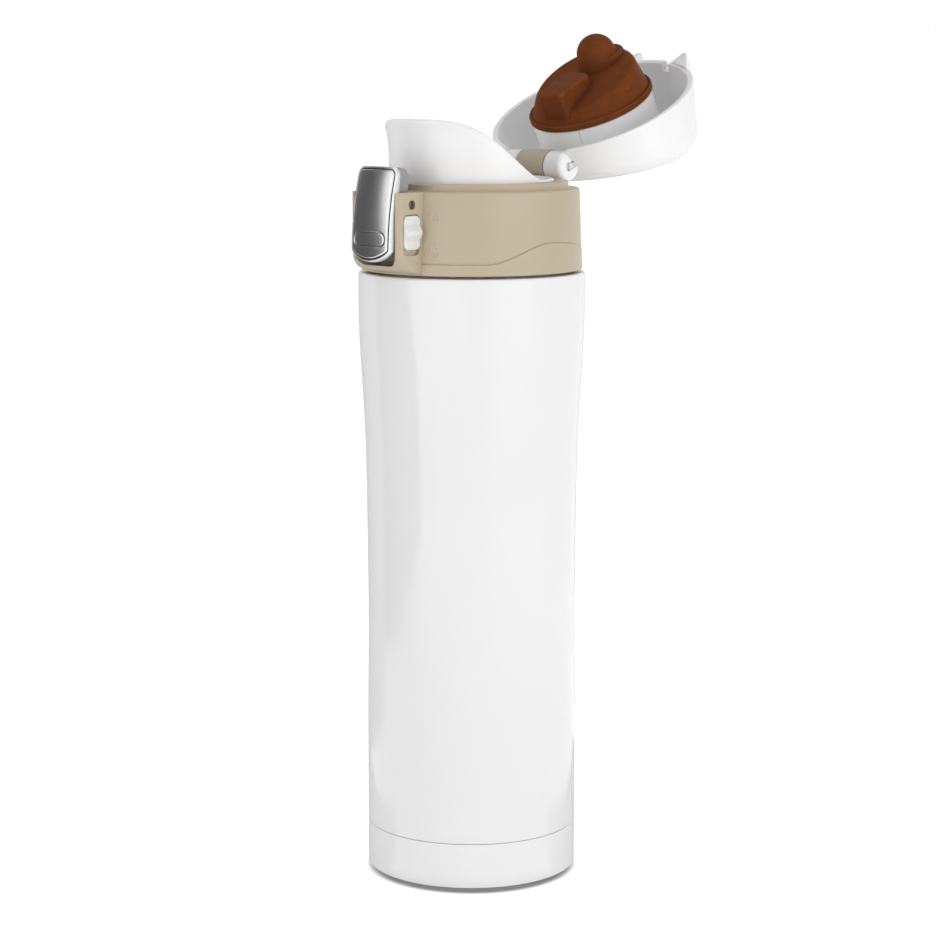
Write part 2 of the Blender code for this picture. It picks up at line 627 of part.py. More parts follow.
def lip_height(turn):
    """The lip's height round the spout: from the side, an S that falls from the latch to the hinge."""
    share = max(0.0, (LIP_END + SPOUT_RADIUS * cos(turn)) / (LIP_END + SPOUT_RADIUS))
    return COLLAR_TOP_Z + LIP_BACK + (LIP_FRONT - LIP_BACK) * ease(share)


def spout_radius(z):
    """The spout's outer radius, which flares towards the crest of the lip."""
    share = max(0.0, (z - STEP_Z) / (COLLAR_TOP_Z + LIP_FRONT - STEP_Z))
    return SPOUT_RADIUS + LIP_FLARE * share ** LIP_FLARE_POWER


def well_floor(x, y):
    """The well's slanted floor, which is lowest towards the latch."""
    return RIM_Z - WELL_DEPTH + tan(SLANT) * (y + HOLE_OFFSET)


def spout():
    """The drinking spout: a flared lip, a flange under the collar's step, a skirt and a well."""
    foot = STEP_Z - 2 * GAP
    turns = [2 * pi * i / SEGMENTS for i in range(SEGMENTS)]

    def wall_ring(share, depth):
        points = []
        for turn in turns:
            z = foot + (lip_height(turn) - foot) * share
            r = spout_radius(z) - depth
            points.append((r * sin(turn), -r * cos(turn), z))
        return points

    bore = SPOUT_RADIUS - SPOUT_WALL
    deep = WELL_RADIUS - WELL_TAPER
    skirt = FLANGE_BOTTOM_Z - SKIRT_DROP
    loops = [wall_ring(share, SPOUT_WALL) for share in LIP_ROWS]
    loops += [wall_ring(1, SPOUT_WALL / 2)]
    loops += [wall_ring(share, 0) for share in reversed(LIP_ROWS)]
    loops += [ring(SPOUT_RADIUS, FLANGE_TOP_Z), ring(FLANGE_RADIUS, FLANGE_TOP_Z)]
    loops += [ring(FLANGE_RADIUS, FLANGE_BOTTOM_Z), ring(SPOUT_RADIUS, FLANGE_BOTTOM_Z)]
    loops += [ring(SPOUT_RADIUS, skirt), ring(bore, skirt), ring(bore, FLANGE_BOTTOM_Z)]
    loops += [ring(WELL_RADIUS + WELL_WALL, FLANGE_BOTTOM_Z)]
    loops += [ring(deep + WELL_WALL, lambda x, y: well_floor(x, y) - WELL_FLOOR)]
    loops += [[(0, 0, well_floor(0, 0) - WELL_FLOOR)]]
    body = [[(0, 0, well_floor(0, 0))], ring(deep, well_floor), ring(WELL_RADIUS, foot - FUNNEL)]
    body = loft("spout", body + loops)
    far = COLLAR_TOP_Z
    drink = [(0, far), (DRINK_HOLE_RADIUS, far), (DRINK_HOLE_RADIUS, BODY_TOP_Z - WELL_DEPTH)]
    drink += [(0, BODY_TOP_Z - WELL_DEPTH)]
    vent = [(0, far), (VENT_RADIUS, far), (VENT_RADIUS, BODY_TOP_Z), (0, BODY_TOP_Z)]
    cut(body, turned("drink_hole", drink, SMALL_SEGMENTS, (0.0, -HOLE_OFFSET)))
    cut(body, turned("vent_hole", vent, SMALL_SEGMENTS // 2, (0.0, VENT_BACK)))
    return finish(body, WHITE, 0.3)


def mouth_gasket():
    """The silicone ring between the spout's flange and the vessel's lip."""
    low = GASKET_TOP_Z - GASKET
    inner = SPOUT_RADIUS + GAP
    outer = FLANGE_RADIUS - GAP
    profile = [(inner, GASKET_TOP_Z), (outer, GASKET_TOP_Z), (outer, low), (inner, low)]
    return finish(turned("mouth_gasket", profile), CLEAR_GREY, 0.6)


def lid_top(x, y, inset=0.0):
    """The lid's slanted top, or a level below it."""
    return RIM_Z + LID_MIDDLE - LID_SLOPE * y - inset * hypot(1, LID_SLOPE)


def lid_skin(inset):
    """Loops of the lid's wall and rounded top, from the rim to the pole, set in by a wall."""
    foot = LID_RADIUS - inset
    head = foot - LID_DRAFT
    edge = LID_EDGE - inset
    middle = head - edge
    turns = [2 * pi * i / SEGMENTS for i in range(SEGMENTS)]
    loops = [ring(foot, RIM_Z)]
    for step in range(EDGE_STEPS + 1):
        points = []
        for turn in turns:
            slope = LID_SLOPE * cos(turn)
            level = lid_top(0, 0, inset) + slope * middle - edge * hypot(1, slope)
            along = (pi / 2 + atan(slope)) * step / EDGE_STEPS
            r = middle + edge * cos(along)
            points.append((r * sin(turn), -r * cos(turn), level + edge * sin(along)))
        loops.append(points)
    return loops + [[(0, 0, lid_top(0, 0, inset))]]


def lid_ear(side):
    """A three-cornered ear beside the latch, flat with the rim."""
    root = LID_RADIUS - LID_WALL / 2
    tip_y = -LID_RADIUS - EAR_REACH
    inner = HOUSING_INNER + GAP
    inner_root = -sqrt(root ** 2 - inner ** 2)
    plan = [(inner, tip_y), (inner + EAR_TIP, tip_y), (root * sin(EAR_ROOT), -root * cos(EAR_ROOT))]
    plan += [(inner, inner_root)]
    tops = (EAR_TIP_HEIGHT, EAR_TIP_HEIGHT, EAR_HEIGHT, EAR_HEIGHT)
    low = [(side * x, y, RIM_Z) for x, y in plan]
    high = [(side * x, y, RIM_Z + top) for (x, y), top in zip(plan, tops)]
    return loft("lid_ear", [low, high])


def lid_catch():
    """The catch on the lid's front wall that the latch's hook holds down."""
    root = -LID_RADIUS + LID_WALL / 2
    hook = LEVER_BACK * cos(LATCH_LEAN) + HOOK_BOTTOM * sin(LATCH_LEAN)
    tip = PIVOT.y + hook - CATCH_BITE
    low = RIM_Z + CATCH_LIFT
    top = PIVOT.z + HOOK_BOTTOM * cos(LATCH_LEAN) - LEVER_BACK * sin(LATCH_LEAN) - GAP
    outline = [(root, low), (tip + CATCH_CHAMFER, low), (tip, low + CATCH_CHAMFER)]
    return profile_bar("lid_catch", outline + [(tip, top), (root, top)], CATCH_HALF)


def lid_knuckle(side):
    """A hinge knuckle, rounded at its outer end."""
    rounding = arc((KNUCKLE_END - KNUCKLE_EDGE, KNUCKLE_RADIUS - KNUCKLE_EDGE), KNUCKLE_EDGE, 90, 0, 2)
    profile = [(KNUCKLE_START, KNUCKLE_RADIUS)] + rounding
    return spindle("knuckle", [(side * x, r) for x, r in profile], HINGE.y, HINGE.z)


def lid_shell(hinge):
    """The lid: a slanted cap with hinge knuckles at its back, and ears and a catch at its front."""
    outside = lid_skin(0)
    inside = lid_skin(LID_WALL)
    lid = loft("lid_shell", outside[::-1] + inside)
    far = 2 * LID_RADIUS
    heel = (KNUCKLE_END + GAP, HINGE.y - KNUCKLE_RADIUS - GAP, HINGE.z - GAP)
    cut(lid, box("heel", (-heel[0], heel[1], 0), (heel[0], far, heel[2])))
    room = KNUCKLE_START + GAP
    notch_y = COLLAR_TOP_RADIUS - COLLAR_EDGE - PEDESTAL_DEPTH - GAP
    cut(lid, box("notch", (-room, notch_y, 0), (room, far, RIM_Z + LID_FRONT_HEIGHT)))
    room -= GAP / 2
    cut(lid, rod("barrel_room", BARREL_RADIUS + GAP, -room, room, HINGE.y, HINGE.z))
    join(lid, lid_knuckle(-1), lid_knuckle(1))
    slot_end = HOUSING_INNER + GAP
    slot_y = EAR_SLOT_DEPTH - LID_RADIUS
    slot_top = RIM_Z + EAR_SLOT_HEIGHT
    for side in (-1, 1):
        ends = sorted((side * (slot_end - EAR_SLOT_WIDTH), side * slot_end))
        cut(lid, box("ear_slot", (ends[0], -far, 0), (ends[1], slot_y, slot_top)))
    join(lid, lid_ear(-1), lid_ear(1))
    join(lid, lid_catch())
    cut(lid, rod("pin_bore", HINGE_PIN_RADIUS + GAP, -far, far, HINGE.y, HINGE.z))
    leg_end = KNUCKLE_START + HINGE_LEG
    cut(lid, rod("leg_room", BARREL_RADIUS - BARREL_WALL, BARREL_HALF, leg_end, HINGE.y, HINGE.z))
    low = (leg_end - GAP, -KNUCKLE_RADIUS - GAP, -SPRING_SLOT / 2)
    slot = box("spring_slot", low, (far, 0, SPRING_SLOT / 2))
    slot.data.transform(Matrix.Translation(HINGE) @ Matrix.Rotation(pi - OPEN_ANGLE, 4, "X").inverted())
    cut(lid, slot)
    lid.data.transform(Matrix.Translation(-HINGE))
    return hang(finish(lid, WHITE, 0.3), hinge)


def stopper_face(x, y):
    """The stopper's slanted face."""
    return RIM_Z - SEAL_DEPTH + tan(SLANT) * y


def level_from(face, lift):
    """A slanted level, lifted towards the lid."""
    return lambda x, y: face(x, y) + lift


def lid_inner(hinge):
    """The drum inside the lid, with a hollow core that fills the stopper."""
    face = SEAL_RADIUS - SEAL_FACE_INSET - SEAL_WALL
    hollow = face - DRUM_WALL
    core = SEAL_WALL + GAP
    top = level_from(lambda x, y: lid_top(x, y, LID_WALL), -GAP)
    bore = DRUM_RADIUS - DRUM_WALL
    loops = [[(0, 0, stopper_face(0, 0) + core)], ring(face - GAP, level_from(stopper_face, core))]
    loops += [ring(face + DRUM_WALL - GAP, DRUM_END_Z), ring(DRUM_RADIUS, DRUM_END_Z)]
    loops += [ring(DRUM_RADIUS, top), ring(bore, top)]
    loops += [ring(bore, DRUM_END_Z + DRUM_WALL), ring(face, DRUM_END_Z + DRUM_WALL)]
    loops += [ring(hollow, level_from(stopper_face, core + DRUM_WALL))]
    loops += [[(0, 0, stopper_face(0, 0) + core + DRUM_WALL)]]
    drum = loft("lid_inner", loops)
    drum.data.transform(Matrix.Translation(-HINGE))
    return hang(finish(drum, WHITE, 0.35), hinge)


def stopper_dome():
    """The dome that closes the drink hole, on a slightly wider step."""
    centre = (0.0, -DOME_OFFSET)
    sphere = RIM_Z - DOME_CENTRE
    step = RIM_Z - DOME_STEP_DEPTH
    root = level_from(stopper_face, SEAL_WALL / 2)
    wide = DOME_RADIUS + DOME_STEP
    count = SMALL_SEGMENTS
    level = level_from(root, -GAP)
    loops = [[(*centre, root(*centre))], ring(wide, root, count, centre)]
    loops += [ring(wide, lambda x, y: min(step, level(x, y)), count, centre)]
    loops += [ring(DOME_RADIUS, step - DOME_STEP / 2, count, centre)]
    for r, z in arc((0, sphere), DOME_RADIUS, 0, -DOME_ARC, 4):
        loops.append(ring(r, z, count, centre))
    return loft("dome", loops + [[(*centre, sphere - DOME_RADIUS)]])


def stopper_block():
    """The block at the hinge side of the face, level with the rim and rounded at its far end."""
    root = level_from(stopper_face, SEAL_WALL / 2)
    low = RIM_Z - BLOCK_DEPTH
    outline = [(BLOCK_BACK, low), (BLOCK_BACK, root(0, BLOCK_BACK))]
    outline += [(BLOCK_TIP, root(0, BLOCK_TIP)), (BLOCK_TIP, low)]
    block = profile_bar("block", outline, BLOCK_HALF)
    shape = bmesh.new()
    shape.from_mesh(block.data)
    front = [e for e in shape.edges if all(abs(v.co.y - BLOCK_TIP) < GAP / 10 for v in e.verts)]
    upright = [e for e in front if abs(e.verts[0].co.z - e.verts[1].co.z) > GAP]
    bmesh.ops.bevel(shape, geom=upright, offset=BLOCK_EDGE, segments=3, profile=0.5, affect="EDGES")
    shape.to_mesh(block.data)
    shape.free()
    return block


def stopper_seal(hinge):
    """The silicone stopper: a flange, a slanted cone, a dome for the drink hole and a block."""
    face = SEAL_RADIUS - SEAL_FACE_INSET
    cone = SEAL_RADIUS - DRUM_INSET
    inner = face - SEAL_WALL
    loops = [[(0, 0, stopper_face(0, 0))], ring(face - SEAL_EDGE, stopper_face)]
    loops += [ring(face, level_from(stopper_face, SEAL_EDGE / 2)), ring(cone, SEAL_LIP_Z - GAP)]
    loops += [ring(SEAL_RADIUS, SEAL_LIP_Z), ring(SEAL_RADIUS, SEAL_TOP_Z)]
    loops += [ring(inner + DRUM_WALL, SEAL_TOP_Z)]
    loops += [ring(inner, level_from(stopper_face, SEAL_WALL)), [(0, 0, stopper_face(0, 0) + SEAL_WALL)]]
    seal = join(loft("stopper_seal", loops), stopper_dome(), stopper_block())
    seal.data.transform(Matrix.Translation(-HINGE))
    return hang(finish(seal, BROWN, 0.5), hinge)


def hinge_pin():
    end = KNUCKLE_END - PIN_RECESS
    pin = rod("hinge_pin", HINGE_PIN_RADIUS, -end, end, HINGE.y, HINGE.z)
    return finish(pin, STEEL, 0.3, 1.0)


def hinge_spring():
    """The torsion spring round the hinge pin, with a leg into the lid's knuckle at +X."""
    length = HINGE_COIL_TURNS * HINGE_COIL_PITCH
    points = coil(HINGE_COIL_RADIUS, HINGE_COIL_TURNS, HINGE_COIL_PITCH, BARREL_HALF - length - 2 * GAP)
    end = points[-1]
    points.append((KNUCKLE_START + HINGE_LEG - 2 * GAP, end[1], end[2]))
    spring = tube("hinge_spring", points, HINGE_WIRE)
    spring.location = HINGE
    return finish(spring, STEEL, 0.35, 1.0)


def cover_outline(inset):
    """The latch's outline from the front, as (across, along): a shallow chin and round corners."""
    half = COVER_HALF - inset
    bend = COVER_CORNER - inset
    heel = COVER_HEEL - inset
    chin = COVER_CHIN - inset
    top = COVER_TOP - inset
    middle = COVER_CHIN - COVER_BOTTOM
    heel_z = middle - sqrt((chin - heel) ** 2 - (half - heel) ** 2)
    spread = degrees(asin((half - heel) / (chin - heel)))
    points = arc((heel - half, heel_z), heel, 180, 270 - spread, 2)
    points += arc((0, middle), chin, 270 - spread, 270 + spread, 6)[1:-1]
    points += arc((half - heel, heel_z), heel, 270 + spread, 360, 2)
    points += arc((half - bend, top - bend), bend, 0, 90, 3)
    return points + arc((bend - half, top - bend), bend, 90, 180, 3)


def cover_blank(name, inset, back):
    """The latch's outline, drawn back from its crowned front."""
    outline = cover_outline(inset)
    front = -COVER_FRONT - COVER_CURVE
    blank = loft(name, [[(x, y, z) for x, z in outline] for y in (front, back)])
    curve = COVER_CURVE - inset
    crown = [(0, COVER_CURVE), (curve, COVER_CURVE), (curve, -COVER_CURVE), (0, -COVER_CURVE)]
    crown = turned("crown", crown, 2 * SEGMENTS, (0.0, COVER_CURVE - COVER_FRONT))
    return combine(blank, crown, "INTERSECT")


def latch_cover(pivot):
    """The pressed steel cover, with its edge bent back round the lever."""
    cover = cover_blank("latch_cover", 0, -COVER_BACK)
    cut(cover, cover_blank("cover_inside", SHEET, COVER_DEPTH))
    return hang(finish(cover, STEEL, 0.3, 1.0), pivot)


def latch_lever(pivot):
    """The lever: a pressed arm below its pin, and above it a hook over a pocket for the catch."""
    half = COVER_HALF - LEVER_INSET
    front = GAP - COVER_BACK
    lever = cover_blank("latch_lever", LEVER_INSET, -LEVER_ARM_BACK)
    outline = [(front, COVER_TOP), (LEVER_BACK - HOOK_CHAMFER, COVER_TOP)]
    outline += [(LEVER_BACK, COVER_TOP - HOOK_CHAMFER), (LEVER_BACK, 0), (front, 0)]
    boss = rod("boss", LEVER_BOSS_RADIUS, -LEVER_ARM_HALF, LEVER_ARM_HALF)
    join(lever, profile_bar("hook_block", outline, half), boss)
    far = 2 * COVER_BOTTOM
    for side in (-1, 1):
        ends = sorted((side * LEVER_ARM_HALF, side * far))
        cut(lever, box("arm_side", (ends[0], -far, -far), (ends[1], far, -ARM_SHOULDER)))
    low = (-HOOK_POCKET_HALF, LEVER_BACK - HOOK_POCKET_DEPTH, HOOK_POCKET_FLOOR)
    cut(lever, box("hook_pocket", low, (HOOK_POCKET_HALF, far, HOOK_BOTTOM)))
    coil_edge = LATCH_COIL_RADIUS + LATCH_WIRE
    low = (-SPRING_BAY_HALF, -coil_edge - LEG_SWING, -LATCH_LEG - LEG_SWING)
    cut(lever, box("spring_bay", low, (SPRING_BAY_HALF, far, coil_edge + GAP)))
    cut(lever, rod("pin_hole", LATCH_PIN_RADIUS + GAP, -far, far))
    return hang(finish(lever, GREY, 0.4), pivot)


def latch_pin():
    end = HOUSING_HALF - PIN_RECESS
    pin = rod("latch_pin", LATCH_PIN_RADIUS, -end, end, PIVOT.y, PIVOT.z)
    return finish(pin, STEEL, 0.3, 1.0)


def latch_spring():
    """The torsion spring round the latch pin: one leg by the lever's arm, one by the collar's wall."""
    length = LATCH_COIL_TURNS * LATCH_COIL_PITCH
    curls = coil(LATCH_COIL_RADIUS, LATCH_COIL_TURNS, LATCH_COIL_PITCH, -length / 2)
    quarter = CURL_POINTS // 4
    curls = curls[quarter:-quarter]
    first, last = curls[0], curls[-1]
    legs = [(first[0], first[1], -LATCH_LEG)], [(last[0], last[1], -LATCH_LEG)]
    spring = tube("latch_spring", legs[0] + curls + legs[1], LATCH_WIRE)
    spring.location = PIVOT
    return finish(spring, STEEL, 0.35, 1.0)


def lock_slider():
    """The lock's slider in the cheek's slot, with a finger rib outside and a tab inside."""
    y, z = slot_middle()
    top = z + SLOT_HEIGHT / 2 - GAP
    low = top - SLIDER_HEIGHT
    half = SLOT_WIDTH / 2 - GAP
    outer = HOUSING_HALF + SLIDER_PROUD
    inner = HOUSING_INNER - GAP
    slider = box("lock_slider", (inner - SLIDER_FLANGE, y - half, low), (outer, y + half, top))
    middle = (low + top) / 2
    foot, crest = 2 * SLIDER_RIB_HALF, SLIDER_RIB_HALF / 2
    section = [(HOUSING_HALF, middle - foot), (outer + SLIDER_RIB, middle - crest)]
    section += [(outer + SLIDER_RIB, middle + crest), (HOUSING_HALF, middle + foot)]
    rib = loft("rib", [[(x, place, height) for x, height in section] for place in (y - half, y + half)])
    front = y - half + SLIDER_FRONT_STEP
    cut(slider, box("front_step", (0, 2 * y, 0), (inner, front, 2 * z)))
    tab_x = inner - SLIDER_FLANGE
    flange = box("flange", (tab_x, front, low - SLIDER_LAP), (inner, y + half, top + SLIDER_LAP))
    tab_top = top - LOCK_TAB_DROP
    tab_low = (tab_x - LOCK_TAB, front + GAP, tab_top - LOCK_TAB_HEIGHT)
    tab = box("tab", tab_low, (tab_x + GAP, y + half - GAP, tab_top))
    return finish(join(slider, rib, flange, tab), WHITE, 0.35)


def main():
    clear_scene()
    outer_shell()
    inner_vessel()
    base_plate()
    vacuum_seal_plug()
    getter()
    base_cup()
    thread_ring()
    collar()
    spout()
    mouth_gasket()
    hinge = joint_empty("hinge_axis", HINGE, -OPEN_ANGLE)
    lid_shell(hinge)
    lid_inner(hinge)
    stopper_seal(hinge)
    hinge_pin()
    hinge_spring()
    pivot = joint_empty("latch_axis", PIVOT, -LATCH_LEAN)
    latch_cover(pivot)
    latch_lever(pivot)
    latch_pin()
    latch_spring()
    lock_slider()


main()
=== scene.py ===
"""Looks of the insulated travel mug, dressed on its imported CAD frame.

Lengths are in millimetres, in the CAD's axes, and `skin` turns them into metres. The push latch faces -Y and
the hinge is at +Y. The lid's pieces are built closed and then swung open about the hinge, and the latch's
pieces are built about its pin and then leaned.
"""
import cmath
from math import asin, atan, cos, degrees, hypot, pi, radians, sin, sqrt, tan

import bmesh
import bpy
from mathutils import Matrix, Vector

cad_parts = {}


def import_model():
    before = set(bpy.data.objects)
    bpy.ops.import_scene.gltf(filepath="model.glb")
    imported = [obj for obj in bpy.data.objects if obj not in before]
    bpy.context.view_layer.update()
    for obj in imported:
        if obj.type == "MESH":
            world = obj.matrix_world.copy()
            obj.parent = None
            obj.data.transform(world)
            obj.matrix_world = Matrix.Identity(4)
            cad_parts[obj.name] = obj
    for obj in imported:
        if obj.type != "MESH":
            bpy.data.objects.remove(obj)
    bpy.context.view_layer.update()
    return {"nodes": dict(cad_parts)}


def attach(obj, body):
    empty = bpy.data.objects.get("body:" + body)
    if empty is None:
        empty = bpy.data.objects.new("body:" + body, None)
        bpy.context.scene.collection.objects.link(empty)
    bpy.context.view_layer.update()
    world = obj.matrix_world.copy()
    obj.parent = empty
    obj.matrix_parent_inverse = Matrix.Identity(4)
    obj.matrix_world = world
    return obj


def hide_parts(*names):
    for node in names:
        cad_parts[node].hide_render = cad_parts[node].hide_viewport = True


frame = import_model()

MM = 0.001
ROUND = 168                     # facets round the large turned pieces
SMALL_ROUND = 64                # facets round pins, knuckles and holes
GAP = 0.3
FINE_GAP = 0.12                 # between pieces that run close in the real mug
SHEET = 0.6
HOLLOWS = (0.465, 0.497)        # how sharply a surface is hollowed where its painted shade is full, and where it ends
EDGES = (0.511, 0.535)          # how sharply it stands out where its painted highlight starts, and where it is full

# Bottle
BASE_RADIUS = 33.0
WAIST_RADIUS = 32.65
SHOULDER_RADIUS = 35.2
STRAIGHT_TOP = 40.0
WAIST = 85.0
FLARE_TOP = 176.0
FLARE_EVEN = 0.3
FLARE_POWER = 4
BODY_ROWS = 60
BODY_TOP = 189.4
SHOULDER_DROP = 0.5             # the ledge under the collar lies this much lower, which shows as a dark line
SEAM = 14.0                     # between the base cup and the body
SEAM_GAP = 0.18
SKIRT_LOW = 4.6
FOOT_GROOVE = (25.0, 26.4)      # a fine ring round the underside
FOOT_GROOVE_DEPTH = 0.3
VESSEL_BOTTOM = 10.6
VACUUM_GAP = 2.2
VESSEL_SHOULDER = 11.0

# Collar
COLLAR_LOW = BODY_TOP + GAP
COLLAR_TOP = COLLAR_LOW + 25.0
COLLAR_LOW_RADIUS = SHOULDER_RADIUS - 0.9
COLLAR_TOP_RADIUS = COLLAR_LOW_RADIUS - 0.85
COLLAR_WALL = 1.8
DECK = 1.8
STEP_RADIUS = COLLAR_TOP_RADIUS - 3.45
STEP_TOP = COLLAR_TOP + 2.2
STEP_ROOF = 1.75
BAND_PROUD = 0.12               # the lower band stands proud of the wall, under a wavy line
BAND_LINE = 193.1               # height of that line beside the latch
BAND_RISE = 6.0
BAND_TURNS = (51, 88, 171)      # degrees from the latch: the rise starts, its crest, the fall ends
RING_BORE = COLLAR_TOP_RADIUS - COLLAR_WALL - 0.6 - 1.6
THREAD_PITCH = 4.0
THREAD_TURNS = 1.25
THREAD_HEIGHT = 1.1
NECK_RADIUS = RING_BORE - THREAD_HEIGHT - 0.5
MOUTH_RADIUS = NECK_RADIUS - 2 * SHEET - GAP

# Spout
SPOUT_RADIUS = MOUTH_RADIUS - 0.8
SPOUT_WALL = 1.6
FLANGE_RADIUS = RING_BORE - GAP
FLANGE_TOP = STEP_TOP - STEP_ROOF - GAP
FLANGE_LOW = FLANGE_TOP - 1.6
GASKET_TOP = FLANGE_LOW - GAP
GASKET = 1.8
MOUTH = GASKET_TOP - GASKET - GAP
SKIRT_DROP = 6.5
LIP_FRONT = 21.3
LIP_BACK = 3.0
LIP_END = 6.3
LIP_FLARE = 1.8
LIP_FLARE_POWER = 4
SPOUT_ROWS = 14
SEAL_RADIUS = SPOUT_RADIUS - SPOUT_WALL - 3.4
WELL_RADIUS = SEAL_RADIUS + GAP
WELL_TAPER = 0.8
WELL_WALL = 1.4
WELL_FLOOR = 1.6
FUNNEL = 3.0
SLANT = radians(12.4)
DRINK_HOLE = (4.6, -7.94)       # radius, and place along Y
VENT_HOLE = (1.3, 6.0)

# Lid
RIM = COLLAR_TOP + GAP
LID_RADIUS = COLLAR_TOP_RADIUS + 0.35
LID_WALL = 2.0
LID_DRAFT = 3.2
LID_FRONT_HEIGHT = 28.2
LID_BACK_HEIGHT = 11.9
LID_EDGE = 6.8
EDGE_STEPS = 14
LID_SLOPE = (LID_FRONT_HEIGHT - LID_BACK_HEIGHT) / (2 * LID_RADIUS)
LID_MIDDLE = (LID_FRONT_HEIGHT + LID_BACK_HEIGHT) / 2
OPEN_ANGLE = radians(154.3)
HINGE = Vector((0, LID_RADIUS - 2.7, COLLAR_TOP + 5.8))
KNUCKLE_RADIUS = 4.9
KNUCKLE = (6.0, 13.0)
KNUCKLE_EDGE = 1.5
BARREL_HALF = 5.7
BARREL_RADIUS = 5.2
BARREL_BORE = 3.6
PEDESTAL_DEPTH = 3.1
HINGE_PIN_RADIUS = 1.25
PIN_SLOT = (2.4, 1.0, 3.3, radians(-10.7))   # width, depth, reach and tilt
EAR_REACH = 5.6
EAR_TIP = 1.4
EAR_HEIGHT = 8.5
EAR_TIP_HEIGHT = 6.0
EAR_ROOT = radians(40)
EAR_SLOT = (3.1, 3.8, 2.6)      # width, depth and height of the slot beside an ear
CATCH_HALF = 4.5
CATCH_TIP = -35.54
CATCH_HEIGHTS = (0.3, 3.3)
CATCH_CHAMFER = 1.0

# Stopper and drum
DRUM_END = RIM - 0.4
DRUM_RADIUS = SEAL_RADIUS - 0.6
DRUM_WALL = 1.5
DRUM_SEAM = radians(154.4)      # the drum's moulding line
SEAL_TOP = DRUM_END - GAP
SEAL_LIP = 2.0
SEAL_FACE = RIM - 9.3
SEAL_FACE_RADIUS = SEAL_RADIUS - 2.9
SEAL_EDGE = 1.8
SEAL_WALL = 1.8
DOME_PLACE = -9.0
DOME_RADIUS = 6.35
DOME_CENTRE = RIM - 14.3
DOME_STEP = (7.5, -10.9, RIM - 13.6)   # radius, place and level of the dome's wider foot
BLOCK_HALF = 5.25
BLOCK_LOW = RIM - 12.8
BLOCK_ENDS = (1.4, 17.6)
BLOCK_EDGE = 3.0
BLOCK_CORNER = 1.0
BLOCK_CROWN = 0.8              # height and inset of its rounded top edges
REMESH = 0.32

# Latch, housing and lock
PIVOT = Vector((0, -COLLAR_TOP_RADIUS - 3.15, COLLAR_TOP - 3.65))
LEAN = radians(7.6)
COVER_HALF = 8.42
COVER_TOP = 10.7
COVER_BOTTOM = -17.9
COVER_FRONT = -6.36
COVER_CURVE = 36.0
COVER_DEPTH = 2.26
COVER_SWELL = 1.1
COVER_CORNER = 2.6
COVER_CHIN = 13.0
COVER_HEEL = 2.2
COVER_MIDDLE = (-9.4, 2.2)      # the cover's rings draw in to this upright line
COVER_RINGS = 50
DIMPLE = (0.1, -11.15)          # middle of the thumb dimple, across and along the latch
DIMPLE_HALF = 6.7
DIMPLE_RADIUS = 2.5
DIMPLE_DEPTH = 0.14
DIMPLE_WALL = 0.9
DIMPLE_GROOVE = 0.12
LEVER_HALF = 7.35
LEVER_BACK = 0.6
HOOK_CHAMFER = 2.0
HOOK_POCKET = (5.0, 3.1, 7.7, 1.9)   # half width, floor, roof and depth
ARM_HALF = 6.4
ARM_BACK = -2.0
BOSS_RADIUS = 2.6
LATCH_PIN_RADIUS = 1.1
CHEEK = 1.75
HOUSING_INNER = 8.55
HOUSING_HALF = HOUSING_INNER + CHEEK
HOUSING_FRONT = -COLLAR_TOP_RADIUS - 8.75
HOUSING_LIFT = 2.4              # its underside rises this much towards the front
HOUSING_CHIN = 5.0
HOUSING_EDGE = 1.6
BAY_LOW = COLLAR_LOW + 2.95
BAY_CORNER = 3.75
SLOT_MIDDLE = (-COLLAR_TOP_RADIUS - 3.45, COLLAR_TOP - 12.6)
SLOT_WIDTH = 6.8
SLOT_HEIGHT = 12.2
SLOT_CORNER = 1.6
SLOT_FLOOR = 0.6                # the slot is a recess over this floor, which only the slider's neck goes through
SLOT_NECK = 2.4
SLIDER_HEIGHT = 10.2
SLIDER_PROUD = 0.5
SLIDER_RIB = 1.4
MARK_TURN = radians(24.6)      # the padlock marks' place round the collar
MARK_HEIGHTS = (207.7, 197.1)   # of the open mark and the closed one
MARK_LINE = 0.22

# Springs: coil radius, turns, pitch, wire
HINGE_COIL = (2.4, 6, 1.5, 0.3)
HINGE_LEG = 8.8
LATCH_COIL = (2.0, 3, 1.2, 0.3)
LATCH_LEG = 4.2
CURL_POINTS = 36

# Camera and stage, in metres and degrees
CAMERA_TURN = radians(43.5)
CAMERA_OUT = 0.8152
CAMERA_HEIGHT = 0.2543
CAMERA_PITCH = radians(8.82)
CAMERA_ASIDE = -0.0011
CAMERA_LENS = 100.8
SKY_LIGHT = 0.45
FLOOR_REACH = 6.0
FLOOR_GLOW = 0.75
FLOOR_SHADE = 0.88
SHADOW_SHADE = 0.14
SHADOW_SHIFT = 0.0058           # the painted contact shadow is the foot's disc, moved towards the front of the picture
SHADOW_EDGE = (0.0301, 0.035)   # radii between which it fades


def link(name, data):
    item = bpy.data.objects.new(name, data)
    bpy.context.scene.collection.objects.link(item)
    return item


def skin(name, loops, closed=False):
    """Skins a row of loops with equal counts. A loop of one point is a pole; other ends are capped."""
    shape = bmesh.new()
    rows = [[shape.verts.new(Vector(point) * MM) for point in loop] for loop in loops]
    pairs = list(zip(rows, rows[1:]))
    if closed:
        pairs.append((rows[-1], rows[0]))
    for low, high in pairs:
        count = max(len(low), len(high))
        for i in range(count):
            corners = [low[i % len(low)], low[(i + 1) % len(low)]]
            corners += [high[(i + 1) % len(high)], high[i % len(high)]]
            shape.faces.new(list(dict.fromkeys(corners)))
    if not closed:
        for end in (rows[0], rows[-1]):
            if len(end) > 2:
                shape.faces.new(end)
    bmesh.ops.recalc_face_normals(shape, faces=shape.faces)
    mesh = bpy.data.meshes.new(name)
    shape.to_mesh(mesh)
    shape.free()
    return link(name, mesh)


